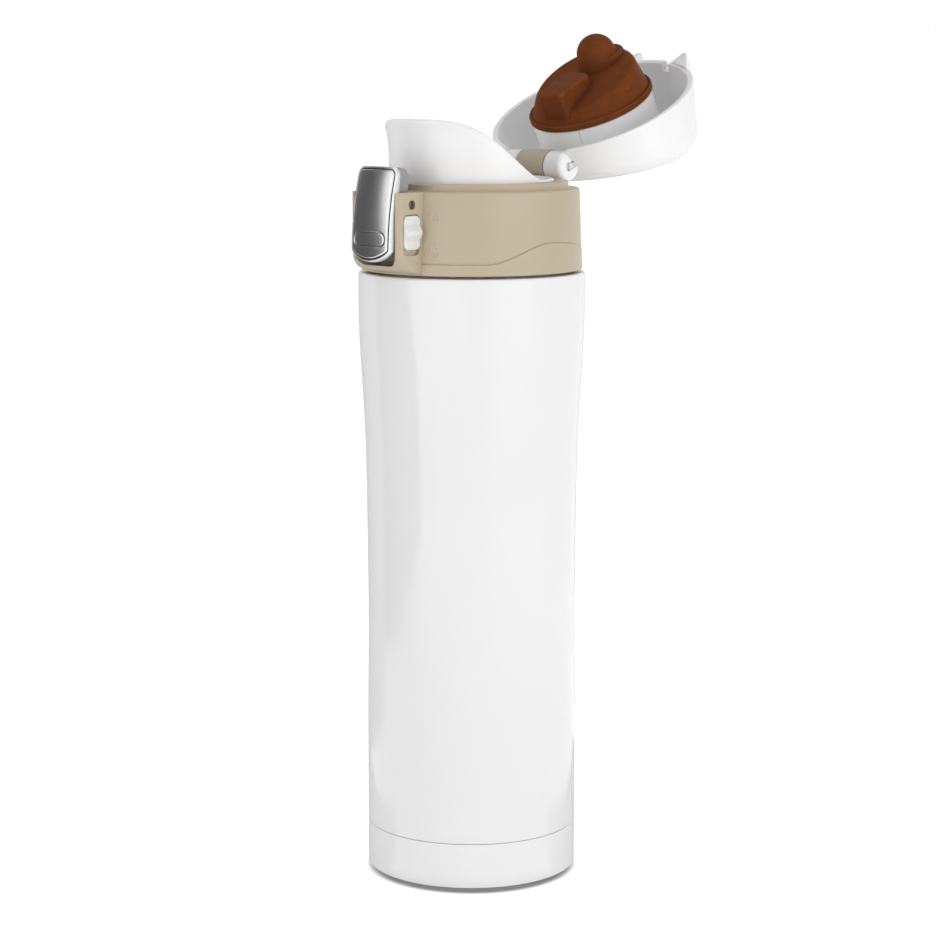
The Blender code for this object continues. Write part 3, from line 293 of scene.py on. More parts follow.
def ring(radius, height, count=ROUND, centre=(0.0, 0.0)):
    """A level circle from -Y. The height may be a function of the point's place, to follow a slope."""
    points = []
    for i in range(count):
        turn = 2 * pi * i / count
        x = centre[0] + radius * sin(turn)
        y = centre[1] - radius * cos(turn)
        points.append((x, y, height(x, y) if callable(height) else height))
    return points


def lathe(name, profile, count=ROUND, centre=(0.0, 0.0)):
    """Turns a profile of (radius, height) points about a vertical axis."""
    loops = []
    for radius, height in profile:
        loops.append(ring(radius, height, count, centre) if radius > 0 else [(*centre, height)])
    return skin(name, loops, closed=profile[0][0] > 0)


def spindle(name, profile, y=0.0, z=0.0):
    """Turns a row of (x, radius) points about an axis along X."""
    turns = [2 * pi * i / SMALL_ROUND for i in range(SMALL_ROUND)]
    return skin(name, [[(x, y + r * cos(t), z + r * sin(t)) for t in turns] for x, r in profile])


def rod(name, radius, start, end, y=0.0, z=0.0):
    return spindle(name, [(start, radius), (end, radius)], y, z)


def box(name, low, high):
    corners = [(low[0], low[1]), (high[0], low[1]), (high[0], high[1]), (low[0], high[1])]
    return skin(name, [[(x, y, z) for x, y in corners] for z in (low[2], high[2])])


def bar(name, outline, start, end):
    """Extrudes a (y, z) outline along X."""
    return skin(name, [[(x, y, z) for y, z in outline] for x in (start, end)])


def arc(centre, radius, start, end, steps):
    """Points of an arc, in degrees, both ends included."""
    angles = [radians(start + (end - start) * i / steps) for i in range(steps + 1)]
    return [(centre[0] + radius * cos(a), centre[1] + radius * sin(a)) for a in angles]


def rounded(corners, steps=5):
    """Rounds the corners of an outline of (across, up, radius). A corner with no radius stays sharp."""
    places = [complex(*corner[:2]) for corner in corners]
    points = []
    for i, corner in enumerate(corners):
        here = places[i]
        if len(corner) < 3:
            points.append((here.real, here.imag))
            continue
        arrive = here - places[i - 1]
        leave = places[(i + 1) % len(places)] - here
        arrive /= abs(arrive)
        bend = cmath.phase(leave / arrive)
        start = here - arrive * corner[2] * tan(abs(bend) / 2)
        inward = arrive * 1j * corner[2] * (1 if bend > 0 else -1)
        for step in range(steps + 1):
            point = start + inward - inward * cmath.exp(1j * bend * step / steps)
            points.append((point.real, point.imag))
    return points


def tube(name, points, radius, closed=False, sides=12):
    """A round wire along a row of points."""
    points = [Vector(point) for point in points]
    count = len(points)
    loops = []
    across = None
    for i, point in enumerate(points):
        before = points[i - 1] if i or closed else point
        after = points[(i + 1) % count] if i < count - 1 or closed else point
        along = (after - before).normalized()
        across = along.orthogonal() if across is None else across - along * across.dot(along)
        across.normalize()
        side = along.cross(across)
        turns = [2 * pi * k / sides for k in range(sides)]
        loops.append([point + radius * (across * cos(t) + side * sin(t)) for t in turns])
    return skin(name, loops, closed)


def bake(item):
    """Turns an object's modifiers into its mesh."""
    shape = item.evaluated_get(bpy.context.evaluated_depsgraph_get())
    mesh = bpy.data.meshes.new_from_object(shape)
    item.modifiers.clear()
    item.data = mesh
    return item


def combine(target, others, operation):
    for other in others:
        change = target.modifiers.new(operation, "BOOLEAN")
        change.operation = operation
        change.solver = "EXACT"
        change.object = other
        bake(target)
        bpy.data.objects.remove(other)
    return target


def cut(target, *others):
    return combine(target, others, "DIFFERENCE")


def join(target, *others):
    return combine(target, others, "UNION")


def soften(item, width, segments=3, limit=40):
    """Rounds the edges of an object that are sharper than a limit, in degrees."""
    change = item.modifiers.new("edges", "BEVEL")
    change.width = width * MM
    change.segments = segments
    change.limit_method = "ANGLE"
    change.angle_limit = radians(limit)
    bake(item)
    shape = bmesh.new()
    shape.from_mesh(item.data)
    bmesh.ops.dissolve_degenerate(shape, dist=0.01 * MM, edges=shape.edges)
    shape.to_mesh(item.data)
    shape.free()
    return item


def ease(share):
    share = min(1.0, max(0.0, share))
    return share * share * (3 - 2 * share)


def swing(item):
    """Swings a closed lid's piece open about the hinge."""
    hinge = Matrix.Translation(HINGE * MM)
    item.data.transform(hinge @ Matrix.Rotation(-OPEN_ANGLE, 4, "X") @ hinge.inverted())
    return item


def lean(item):
    """Takes a latch piece from its own axes, with the pin at the origin, to its place on the collar."""
    item.data.transform(Matrix.Translation(PIVOT * MM) @ Matrix.Rotation(-LEAN, 4, "X"))
    return item


def dress(item, body, node, look, crease=32):
    """Gives a piece its look and shading, and puts it in a CAD node's place."""
    item.data.materials.clear()
    item.data.materials.append(look)
    item.data.shade_smooth()
    item.data.set_sharp_from_angle(angle=radians(crease))
    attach(item, body)
    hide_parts(node)
    return item


def surface(name, colour, roughness, metallic=0.0, mottle=(60, 0.02), gloss=(140, 0.04), grain=(900, 0.01),
            stretch=(1, 1, 1), coat=0.0, specular=0.5, painted_hollow_shade=0.0, painted_edge_highlight=0.0):
    """A material with a faint mottling of its colour, an uneven gloss and a fine grain, each a (scale, amount).

    Painted shade takes a share of its colour away in hollows, and a painted highlight adds a share on its edges.
    """
    material = bpy.data.materials.new(name)
    material.use_nodes = True
    nodes = material.node_tree.nodes
    links = material.node_tree.links
    shader = nodes["Principled BSDF"]
    shader.inputs["Metallic"].default_value = metallic
    shader.inputs["Coat Weight"].default_value = coat
    shader.inputs["Specular IOR Level"].default_value = specular
    shader.inputs["Coat Roughness"].default_value = 0.06
    place = nodes.new("ShaderNodeTexCoord")
    spread = nodes.new("ShaderNodeMapping")
    spread.inputs["Scale"].default_value = stretch
    links.new(place.outputs["Object"], spread.inputs["Vector"])

    def noise(scale):
        texture = nodes.new("ShaderNodeTexNoise")
        texture.inputs["Scale"].default_value = scale
        texture.inputs["Detail"].default_value = 3.0
        links.new(spread.outputs["Vector"], texture.inputs["Vector"])
        return texture.outputs["Fac"]

    ramp = nodes.new("ShaderNodeValToRGB")
    ramp.color_ramp.elements[0].position = 0.35
    ramp.color_ramp.elements[1].position = 0.65
    ramp.color_ramp.elements[0].color = (*[c * (1 - mottle[1]) for c in colour], 1)
    ramp.color_ramp.elements[1].color = (*[min(1.0, c * (1 + mottle[1])) for c in colour], 1)
    links.new(noise(mottle[0]), ramp.inputs["Fac"])
    tone = ramp.outputs["Color"]
    # painted shade: the colour darkens in hollows; painted highlight: it lightens on sharp edges, both by pointiness
    for span, low, high in ((HOLLOWS, 1 - painted_hollow_shade, 1), (EDGES, 1, 1 + painted_edge_highlight)):
        if low == high:
            continue
        change = nodes.new("ShaderNodeMapRange")
        change.inputs["From Min"].default_value = span[0]
        change.inputs["From Max"].default_value = span[1]
        change.inputs["To Min"].default_value = low
        change.inputs["To Max"].default_value = high
        links.new(nodes.new("ShaderNodeNewGeometry").outputs["Pointiness"], change.inputs["Value"])
        scaled = nodes.new("ShaderNodeVectorMath")
        scaled.operation = "SCALE"
        links.new(tone, scaled.inputs[0])
        links.new(change.outputs["Result"], scaled.inputs["Scale"])
        tone = scaled.outputs["Vector"]
    links.new(tone, shader.inputs["Base Color"])
    spans = nodes.new("ShaderNodeMapRange")
    spans.inputs["From Min"].default_value = 0.3
    spans.inputs["From Max"].default_value = 0.7
    spans.inputs["To Min"].default_value = roughness - gloss[1]
    spans.inputs["To Max"].default_value = roughness + gloss[1]
    links.new(noise(gloss[0]), spans.inputs["Value"])
    links.new(spans.outputs["Result"], shader.inputs["Roughness"])
    bump = nodes.new("ShaderNodeBump")
    bump.inputs["Strength"].default_value = 1.0
    bump.inputs["Distance"].default_value = grain[1] * MM
    links.new(noise(grain[0]), bump.inputs["Height"])
    links.new(bump.outputs["Normal"], shader.inputs["Normal"])
    return material


def looks():
    """The mug's materials."""
    return {
        "enamel": surface("enamel", (0.85, 0.85, 0.855), 0.14, mottle=(30, 0.006), gloss=(300, 0.03),
                          grain=(620, 0.009), coat=0.25),
        "beige": surface("beige_plastic", (0.49, 0.415, 0.297), 0.4, mottle=(45, 0.02), gloss=(500, 0.05),
                         grain=(5200, 0.004)),
        # the marks' plastic is lighter than the collar's: a painted highlight on the raised lines, which are the
        # collar's own beige
        "mark": surface("mark_highlight_plastic", (0.56, 0.48, 0.355), 0.4, mottle=(45, 0.02), grain=(5200, 0.004)),
        "white": surface("white_plastic", (0.91, 0.91, 0.915), 0.2, mottle=(40, 0.004), gloss=(200, 0.02),
                         grain=(500, 0.0008)),
        "lock": surface("lock_plastic", (0.76, 0.76, 0.75), 0.3, mottle=(90, 0.01), grain=(900, 0.002)),
        # the stopper's creases get painted shade and its edges a painted highlight
        "silicone": surface("brown_silicone", (0.158, 0.045, 0.013), 0.5, mottle=(220, 0.08), gloss=(700, 0.06),
                            grain=(2600, 0.004), specular=0.025, painted_hollow_shade=0.45, painted_edge_highlight=0.3),
        "clear_silicone": surface("grey_silicone", (0.7, 0.7, 0.69), 0.55, mottle=(150, 0.05)),
        # the cover's hollows, such as the thumb dimple's groove, get painted shade
        "brushed": surface("brushed_steel", (0.62, 0.62, 0.63), 0.25, 1.0, mottle=(900, 0.008), gloss=(1400, 0.005),
                           grain=(1400, 0.00004), stretch=(0.08, 1, 1), painted_hollow_shade=0.75),
        # dark steel, partly the pin's own colour and partly painted shade, so that the latch pin reads as shaded in
        # its hole
        "dark_steel_and_hole_shade": surface("dark_steel_and_hole_shade", (0.16, 0.16, 0.165), 0.34, 1.0, mottle=(400, 0.1), grain=(2000, 0.001)),
        "steel": surface("drawn_steel", (0.6, 0.6, 0.6), 0.28, 1.0, mottle=(300, 0.05), grain=(2000, 0.001)),
        "spun": surface("spun_steel", (0.58, 0.58, 0.59), 0.33, 1.0, mottle=(120, 0.05), gloss=(700, 0.07),
                        grain=(1600, 0.002), stretch=(1, 1, 12)),
        "grey": surface("grey_plastic", (0.3, 0.3, 0.31), 0.42, mottle=(2600, 0.25), grain=(3000, 0.008)),
        "solder": surface("solder", (0.5, 0.5, 0.48), 0.45, 1.0, mottle=(900, 0.15), grain=(1500, 0.04)),
        "sinter": surface("sintered_pill", (0.28, 0.28, 0.29), 0.7, 0.6, mottle=(4000, 0.25), grain=(4000, 0.05)),
    }


def body_radius(z):
    """The body's outer radius: straight, drawn in to a waist, then flared to the shoulder."""
    if z <= WAIST:
        share = (z - STRAIGHT_TOP) / (WAIST - STRAIGHT_TOP)
        return BASE_RADIUS + (WAIST_RADIUS - BASE_RADIUS) * ease(share)
    share = min(1.0, (z - WAIST) / (FLARE_TOP - WAIST))
    rise = FLARE_EVEN * share + (1 - FLARE_EVEN) * ease(share) ** FLARE_POWER
    return WAIST_RADIUS + (SHOULDER_RADIUS - WAIST_RADIUS) * rise


def bottle(look):
    """The painted body with its threaded neck, the steel liner and the pressed-on base cup."""
    low = SEAM + SEAM_GAP / 2
    rows = [low + 2 + (FLARE_TOP - low - 2) * i / BODY_ROWS for i in range(BODY_ROWS + 1)]
    skirt = BASE_RADIUS - SHEET - GAP
    neck_top = MOUTH - SHEET - GAP
    neck = NECK_RADIUS - SHEET
    corners = [(skirt, low), (BASE_RADIUS, low, 0.16)] + [(body_radius(z), z) for z in rows]
    ledge = BODY_TOP - SHOULDER_DROP
    corners += [(SHOULDER_RADIUS, ledge, 0.9), (NECK_RADIUS, ledge, 0.5), (NECK_RADIUS, neck_top)]
    corners += [(neck, neck_top), (neck, ledge - SHEET), (SHOULDER_RADIUS - SHEET, ledge - SHEET, 0.3)]
    corners += [(body_radius(z) - SHEET, z) for z in reversed(rows[::4])]
    corners += [(skirt - SHEET, low + SHEET), (skirt - SHEET, SKIRT_LOW), (skirt, SKIRT_LOW)]
    dress(lathe("body", rounded(corners)), "bottle", "outer_shell", look["enamel"])

    steps = round(THREAD_TURNS * ROUND)
    loops = []
    for i in range(steps + 1):
        turn = 2 * pi * THREAD_TURNS * i / steps
        fade = ease(min(i, steps - i) / (ROUND / 12))
        z = BODY_TOP + 8.6 + THREAD_PITCH * THREAD_TURNS * i / steps
        crest = NECK_RADIUS + THREAD_HEIGHT * fade
        section = rounded([(NECK_RADIUS - 0.2, z - 1), (crest, z - 0.4, 0.2), (crest, z + 0.4, 0.2),
                           (NECK_RADIUS - 0.2, z + 1)], 3)
        loops.append([(r * cos(turn), r * sin(turn), height) for r, height in section])
    dress(skin("neck_ridge", loops), "bottle", "outer_shell", look["enamel"])

    wide = WAIST_RADIUS - SHEET - VACUUM_GAP
    slim = NECK_RADIUS - SHEET - GAP
    neck_low = BODY_TOP - SHEET
    corners = [(0, VESSEL_BOTTOM), (wide, VESSEL_BOTTOM, 8), (wide, neck_low - VESSEL_SHOULDER, 6)]
    corners += [(slim, neck_low, 4), (slim, MOUTH - SHEET), (NECK_RADIUS, MOUTH - SHEET, 0.2)]
    corners += [(NECK_RADIUS, MOUTH, 0.3), (MOUTH_RADIUS, MOUTH, 0.4), (MOUTH_RADIUS, neck_low, 4)]
    corners += [(wide - SHEET, neck_low - VESSEL_SHOULDER, 6), (wide - SHEET, VESSEL_BOTTOM + SHEET, 7.4)]
    corners += [(0, VESSEL_BOTTOM + SHEET)]
    dress(lathe("liner", rounded(corners, 8)), "bottle", "inner_vessel", look["spun"])

    top = SEAM - SEAM_GAP / 2
    wall = BASE_RADIUS - SHEET
    groove = [(FOOT_GROOVE[0], 0), (FOOT_GROOVE[0] + 0.3, FOOT_GROOVE_DEPTH)]
    groove += [(FOOT_GROOVE[1] - 0.3, FOOT_GROOVE_DEPTH), (FOOT_GROOVE[1], 0)]
    corners = [(0, 0)] + groove + [(BASE_RADIUS, 0, 0.4), (BASE_RADIUS, top, 0.16), (wall, top)]
    corners += [(wall, 1.0, 1.2), (0, 1.0)]
    dress(lathe("foot_cup", rounded(corners)), "bottle", "base_cup", look["enamel"])


def carried_nodes(look):
    """The hidden pieces keep their CAD shapes and get their own materials."""
    finishes = {"base_plate": "spun", "vacuum_seal_plug": "solder", "getter": "sinter", "thread_ring": "white"}
    for node, name in finishes.items():
        mesh = frame["nodes"][node].data
        mesh.materials.clear()
        mesh.materials.append(look[name])


def gasket(look):
    inner = SPOUT_RADIUS + GAP
    outer = FLANGE_RADIUS - GAP
    low = GASKET_TOP - GASKET
    corners = [(inner, GASKET_TOP, 0.4), (outer, GASKET_TOP, 0.4), (outer, low, 0.4), (inner, low, 0.4)]
    dress(lathe("mouth_ring", rounded(corners)), "mouth_seal", "mouth_gasket", look["clear_silicone"])


def band_line(turn):
    """Height of the wavy line round the collar."""
    start, crest, end = BAND_TURNS
    place = abs((degrees(turn) + 180) % 360 - 180)
    if place < crest:
        return BAND_LINE + BAND_RISE * ease((place - start) / (crest - start))
    return BAND_LINE + BAND_RISE * (1 - ease((place - crest) / (end - crest)))


def wall_radius(z):
    share = (z - COLLAR_LOW) / (COLLAR_TOP - COLLAR_LOW)
    return COLLAR_LOW_RADIUS + (COLLAR_TOP_RADIUS - COLLAR_LOW_RADIUS) * share


def collar_wall(look):
    """The collar's turned wall, deck and step. Below the wavy line a band stands proud."""
    hole = SPOUT_RADIUS + GAP
    pocket = FLANGE_RADIUS + GAP
    inside = COLLAR_TOP_RADIUS - COLLAR_WALL
    top_edge = rounded([(COLLAR_TOP_RADIUS, COLLAR_TOP - 3), (COLLAR_TOP_RADIUS, COLLAR_TOP, 0.8),
                        (STEP_RADIUS, COLLAR_TOP, 0.35), (STEP_RADIUS, STEP_TOP, 0.45), (hole, STEP_TOP, 0.4),
                        (hole, STEP_TOP - STEP_ROOF)], 6)[1:]
    inner = [(pocket, STEP_TOP - STEP_ROOF), (pocket, COLLAR_TOP - DECK), (inside, COLLAR_TOP - DECK)]
    inner += [(COLLAR_LOW_RADIUS - COLLAR_WALL, COLLAR_LOW)]
    foot = rounded([(COLLAR_LOW_RADIUS - 1, COLLAR_LOW), (COLLAR_LOW_RADIUS, COLLAR_LOW, 0.35),
                    (COLLAR_LOW_RADIUS, COLLAR_LOW + 1)], 5)[1:-1]
    step = [(-0.6, 0), (-0.14, 0), (-0.04, -0.05), (0.03, -0.25), (0.11, -0.42), (0.24, -0.3), (0.5, -0.05)]
    columns = []
    for i in range(ROUND):
        turn = 2 * pi * i / ROUND
        line = band_line(turn)
        column = [(r + BAND_PROUD, z) for r, z in foot]
        for rise, drop in step:
            z = line + rise
            proud = BAND_PROUD if rise < 0 else 0
            column.append((wall_radius(z) + proud + drop * 0.6, z))
        column += [(wall_radius(z), z) for z in (line + 0.9, (line + COLLAR_TOP) / 2)]
        column += top_edge + inner
        columns.append([(r * sin(turn), -r * cos(turn), z) for r, z in column])
    wall = skin("collar_wall", list(zip(*columns)), closed=True)
    reach = KNUCKLE_RADIUS + 2 * GAP
    for side in (-1, 1):
        ends = sorted((side * BARREL_HALF, side * (KNUCKLE[1] + 2 * GAP)))
        cut(wall, rod("room", reach, *ends, HINGE.y, HINGE.z))
    dress(wall, "collar", "collar", look["beige"])


def housing(look):
    """The frame round the latch: two cheeks over a round chin, with a pin hole and the lock's slot."""
    back = COLLAR_WALL - COLLAR_TOP_RADIUS
    rear = back - HOUSING_EDGE - GAP
    low = COLLAR_LOW + GAP
    slope = HOUSING_LIFT / (rear - HOUSING_FRONT)
    chin = (HOUSING_FRONT + HOUSING_CHIN, low + HOUSING_CHIN * hypot(1, slope))
    chin = (chin[0], chin[1] + slope * (rear - chin[0]))
    rows = [(HOUSING_FRONT, COLLAR_TOP)] + arc(chin, HOUSING_CHIN, 180, 270 - degrees(atan(slope)), 16)
    loops = []
    for front, z in rows + [(rear, low)]:
        section = [(-HOUSING_HALF, back), (-HOUSING_HALF, front, HOUSING_EDGE)]
        section += [(HOUSING_HALF, front, HOUSING_EDGE), (HOUSING_HALF, back)]
        loops.append([(x, y, z) for x, y in rounded(section, 8)])
    shell = skin("latch_housing", loops)
    core = COLLAR_TOP_RADIUS - COLLAR_WALL / 2
    cut(shell, lathe("core", [(0, 2 * RIM), (core, 2 * RIM), (core, 0), (0, 0)]))
    far = 2 * HOUSING_HALF
    bay = rounded([(-HOUSING_INNER, 2 * RIM), (-HOUSING_INNER, BAY_LOW, BAY_CORNER),
                   (HOUSING_INNER, BAY_LOW, BAY_CORNER), (HOUSING_INNER, 2 * RIM)], 12)
    cut(shell, skin("bay", [[(x, y, z) for x, z in bay] for y in (2 * HOUSING_FRONT, 0)]))
    soften(shell, 0.18, 2, 50)
    cut(shell, rod("pin_hole", LATCH_PIN_RADIUS + GAP, -far, far, PIVOT.y, PIVOT.z))
    y, z = SLOT_MIDDLE
    half, tall = SLOT_WIDTH / 2, SLOT_HEIGHT / 2
    corners = [(y - half, z - tall), (y + half, z - tall), (y + half, z + tall), (y - half, z + tall)]
    slot = rounded([(*corner, SLOT_CORNER) for corner in corners], 8)
    cut(shell, bar("slot", slot, HOUSING_INNER + SLOT_FLOOR, far))
    reach = tall - SLOT_NECK
    low, high = (HOUSING_INNER - GAP, y - 1, z - reach), (far, y + half - SLOT_NECK / 2, z + reach)
    cut(shell, box("neck_way", low, high))
    dress(shell, "collar", "collar", look["beige"])


def hinge_barrel(look):
    """The barrel between the lid's knuckles, on its pedestal."""
    back = COLLAR_TOP_RADIUS - 0.7
    barrel = rod("hinge_barrel", BARREL_RADIUS, -BARREL_HALF, BARREL_HALF, HINGE.y, HINGE.z)
    low = (-BARREL_HALF, back - PEDESTAL_DEPTH, COLLAR_TOP - DECK / 2)
    join(barrel, box("pedestal", low, (BARREL_HALF, back, HINGE.z)))
    cut(barrel, rod("bore", BARREL_BORE, -2 * BARREL_HALF, 2 * BARREL_HALF, HINGE.y, HINGE.z))
    soften(barrel, 0.3, 3, 50)
    dress(barrel, "collar", "collar", look["beige"])


def padlock_mark(name, height, opened):
    """A thin raised padlock mark on the collar: a round body under a shackle, which may stand open."""
    def on_wall(across, up):
        z = height + up
        radius = wall_radius(z)
        turn = MARK_TURN + across / radius
        return radius * sin(turn), -radius * cos(turn), z

    body = rounded([(-1.45, -2.0, 1.1), (1.45, -2.0, 1.1), (1.45, 0.3, 0.6), (-1.45, 0.3, 0.6)], 8)
    hoop = [(-1.0, 0.3)] + arc((0, 0.95), 1.0, 180, 50 if opened else 0, 12)
    if not opened:
        hoop.append((1.0, 0.3))
    keyhole = [(0.3 * cos(t), 0.5 * sin(t) - 0.85) for t in [2 * pi * i / 20 for i in range(20)]]
    item = tube(name, [on_wall(*point) for point in body], MARK_LINE, closed=True)
    arch = tube(name + "_hoop", [on_wall(*point) for point in hoop], MARK_LINE)
    return item, arch, tube(name + "_key", [on_wall(*point) for point in keyhole], MARK_LINE / 2, closed=True)


def marks(look):
    for name, height in zip(("mark_open", "mark_closed"), MARK_HEIGHTS):
        for item in padlock_mark(name, height, name == "mark_open"):
            dress(item, "collar", "collar", look["mark"])


def lip_height(turn):
    """The lip's height round the spout: from the side, an S that falls from the latch to the hinge."""
    share = (LIP_END + SPOUT_RADIUS * cos(turn)) / (LIP_END + SPOUT_RADIUS)
    return COLLAR_TOP + LIP_BACK + (LIP_FRONT - LIP_BACK) * ease(share)


def spout_radius(z):
    share = max(0.0, (z - STEP_TOP) / (COLLAR_TOP + LIP_FRONT - STEP_TOP))
    return SPOUT_RADIUS + LIP_FLARE * share ** LIP_FLARE_POWER


def well_floor(x, y):
    return SEAL_FACE - 9.825 + tan(SLANT) * (y - DRINK_HOLE[1])


def spout(look):
    """The drinking spout: a flared lip with a round edge, and a slanted well with a drink hole and a vent."""
    foot = STEP_TOP - 2 * GAP
    turns = [2 * pi * i / ROUND for i in range(ROUND)]
    edge = SPOUT_WALL / 2

    def wall_ring(share, depth, lift=0.0):
        points = []
        for turn in turns:
            z = foot + (lip_height(turn) - edge - foot) * share
            r = spout_radius(z + edge * share) - depth
            points.append((r * sin(turn), -r * cos(turn), z + lift))
        return points

    shares = [i / SPOUT_ROWS for i in range(SPOUT_ROWS + 1)]
    bore = SPOUT_RADIUS - SPOUT_WALL
    deep = WELL_RADIUS - WELL_TAPER
    skirt = FLANGE_LOW - SKIRT_DROP
    loops = [[(0, 0, well_floor(0, 0))], ring(deep * 0.5, well_floor), ring(deep - 1.2, well_floor)]
    loops += [ring(deep - 0.35, lambda x, y: well_floor(x, y) + 0.3)]
    loops += [ring(deep, lambda x, y: well_floor(x, y) + 1.2), ring(WELL_RADIUS, foot - FUNNEL)]
    loops += [wall_ring(share, SPOUT_WALL) for share in shares]
    for angle in range(150, 0, -30):
        loops.append(wall_ring(1, edge - edge * cos(radians(angle)), edge * sin(radians(angle))))
    loops += [wall_ring(share, 0) for share in reversed(shares)]
    loops += [ring(SPOUT_RADIUS, FLANGE_TOP), ring(FLANGE_RADIUS, FLANGE_TOP)]
    loops += [ring(FLANGE_RADIUS, FLANGE_LOW), ring(SPOUT_RADIUS, FLANGE_LOW)]
    loops += [ring(SPOUT_RADIUS, skirt), ring(bore, skirt), ring(bore, FLANGE_LOW)]
    loops += [ring(WELL_RADIUS + WELL_WALL, FLANGE_LOW)]
    loops += [ring(deep + WELL_WALL, lambda x, y: well_floor(x, y) - WELL_FLOOR)]
    loops += [[(0, 0, well_floor(0, 0) - WELL_FLOOR)]]
    body = skin("drink_spout", loops)
    for radius, y in (DRINK_HOLE, VENT_HOLE):
        profile = [(0, COLLAR_TOP), (radius, COLLAR_TOP), (radius, SEAM), (0, SEAM)]
        cut(body, lathe("hole", profile, SMALL_ROUND, (0.0, y)))
    dress(body, "collar", "spout", look["white"])


def lid_top(x, y, inset=0.0):
    return RIM + LID_MIDDLE - LID_SLOPE * y - inset * hypot(1, LID_SLOPE)


def lid_skin(inset):
    """Loops of the lid's wall and rounded top, from the rim to the pole, set in by a wall."""
    foot = LID_RADIUS - inset
    middle = foot - LID_DRAFT - LID_EDGE + inset
    edge = LID_EDGE - inset
    turns = [2 * pi * i / ROUND for i in range(ROUND)]
    soft = 0.4 if inset == 0 else -0.4
    loops = [ring(foot - soft, RIM), ring(foot - soft * 0.3, RIM + 0.12), ring(foot - 0.03, RIM + 0.45)]
    for step in range(EDGE_STEPS + 1):
        points = []
        for turn in turns:
            slope = LID_SLOPE * cos(turn)
            level = lid_top(0, 0, inset) + slope * middle - edge * hypot(1, slope)
            along = (pi / 2 + atan(slope)) * step / EDGE_STEPS
            r = middle + edge * cos(along)
            points.append((r * sin(turn), -r * cos(turn), level + edge * sin(along)))
        loops.append(points)
    for share in (0.75, 0.5, 0.25):
        loops.append(ring(middle * share, lambda x, y: lid_top(x, y, inset)))
    return loops + [[(0, 0, lid_top(0, 0, inset))]]


def lid_cap(look):
    """The lid's cap, open at the hinge's barrel and knuckles and slotted beside the ears."""
    cap = skin("lid_cap", lid_skin(0)[::-1] + lid_skin(LID_WALL))
    far = 2 * LID_RADIUS
    heel = (KNUCKLE[1] + GAP, HINGE.y - KNUCKLE_RADIUS - GAP, HINGE.z - GAP)
    cut(cap, box("heel", (-heel[0], heel[1], 0), (heel[0], far, heel[2])))
    room = KNUCKLE[0] + GAP
    notch = COLLAR_TOP_RADIUS - 0.7 - PEDESTAL_DEPTH - GAP
    cut(cap, box("notch", (-room, notch, 0), (room, far, RIM + LID_FRONT_HEIGHT)))
    room -= GAP / 2
    cut(cap, rod("barrel_room", BARREL_RADIUS + GAP, -room, room, HINGE.y, HINGE.z))
    width, depth, height = EAR_SLOT
    end = HOUSING_INNER + GAP
    for side in (-1, 1):
        ends = sorted((side * (end - width), side * end))
        cut(cap, box("ear_slot", (ends[0], -far, 0), (ends[1], depth - LID_RADIUS, RIM + height)))
    cut(cap, rod("pin_way", HINGE_PIN_RADIUS + GAP, -KNUCKLE[1], KNUCKLE[1], HINGE.y, HINGE.z))
    dress(swing(cap), "lid", "lid_shell", look["white"])


def pin_slot(side):
    """Cutter of the round-ended slot from a knuckle's bore, by which the hinge pin goes in."""
    width, depth, reach, tilt = PIN_SLOT
    half = width / 2
    outline = rounded([(-reach, -half, half - 0.01), (0, -half), (0, half), (-reach, half, half - 0.01)], 6)
    slot = bar("pin_slot", outline, *sorted((side * (KNUCKLE[1] - depth), side * 2 * KNUCKLE[1])))
    slot.data.transform(Matrix.Translation(HINGE * MM) @ Matrix.Rotation(tilt, 4, "X"))
    return slot


def lid_fittings(look):
    """The lid's two knuckles, its two ears and the catch for the latch."""
    root = LID_RADIUS - LID_WALL / 2
    tip = -LID_RADIUS - EAR_REACH
    inner = HOUSING_INNER + GAP
    plan = [(inner, tip), (inner + EAR_TIP, tip), (root * sin(EAR_ROOT), -root * cos(EAR_ROOT))]
    plan += [(inner, -sqrt(root ** 2 - inner ** 2))]
    tops = (EAR_TIP_HEIGHT, EAR_TIP_HEIGHT, EAR_HEIGHT, EAR_HEIGHT)
    for side, name in ((-1, "left"), (1, "right")):
        low = [(side * x, y, RIM) for x, y in plan]
        high = [(side * x, y, RIM + top) for (x, y), top in zip(plan, tops)]
        ear = soften(skin("lid_ear_" + name, [low, high]), 0.4, 3)
        dress(swing(ear), "lid", "lid_shell", look["white"])
        bore = HINGE_PIN_RADIUS + FINE_GAP
        corners = [(KNUCKLE[0], bore), (KNUCKLE[0], KNUCKLE_RADIUS, 0.3), (KNUCKLE[1], KNUCKLE_RADIUS, KNUCKLE_EDGE)]
        profile = rounded(corners + [(KNUCKLE[1], bore, 0.3)], 8)
        turns = [2 * pi * i / SMALL_ROUND for i in range(SMALL_ROUND)]
        loops = [[(side * x, HINGE.y + r * cos(t), HINGE.z + r * sin(t)) for t in turns] for x, r in profile]
        knuckle = cut(skin("lid_knuckle_" + name, loops, closed=True), pin_slot(side))
        dress(swing(knuckle), "lid", "lid_shell", look["white"])
    low, top = [RIM + height for height in CATCH_HEIGHTS]
    outline = [(-root, low), (CATCH_TIP + CATCH_CHAMFER, low), (CATCH_TIP, low + CATCH_CHAMFER)]
    outline += [(CATCH_TIP, top), (-root, top)]
    catch = soften(bar("lid_catch", outline, -CATCH_HALF, CATCH_HALF), 0.3, 3)
    dress(swing(catch), "lid", "lid_shell", look["white"])


def stopper_face(x, y):
    return SEAL_FACE + tan(SLANT) * y


def level(face, lift):
    """A slanted level, lifted towards the lid."""
    return lambda x, y: face(x, y) + lift


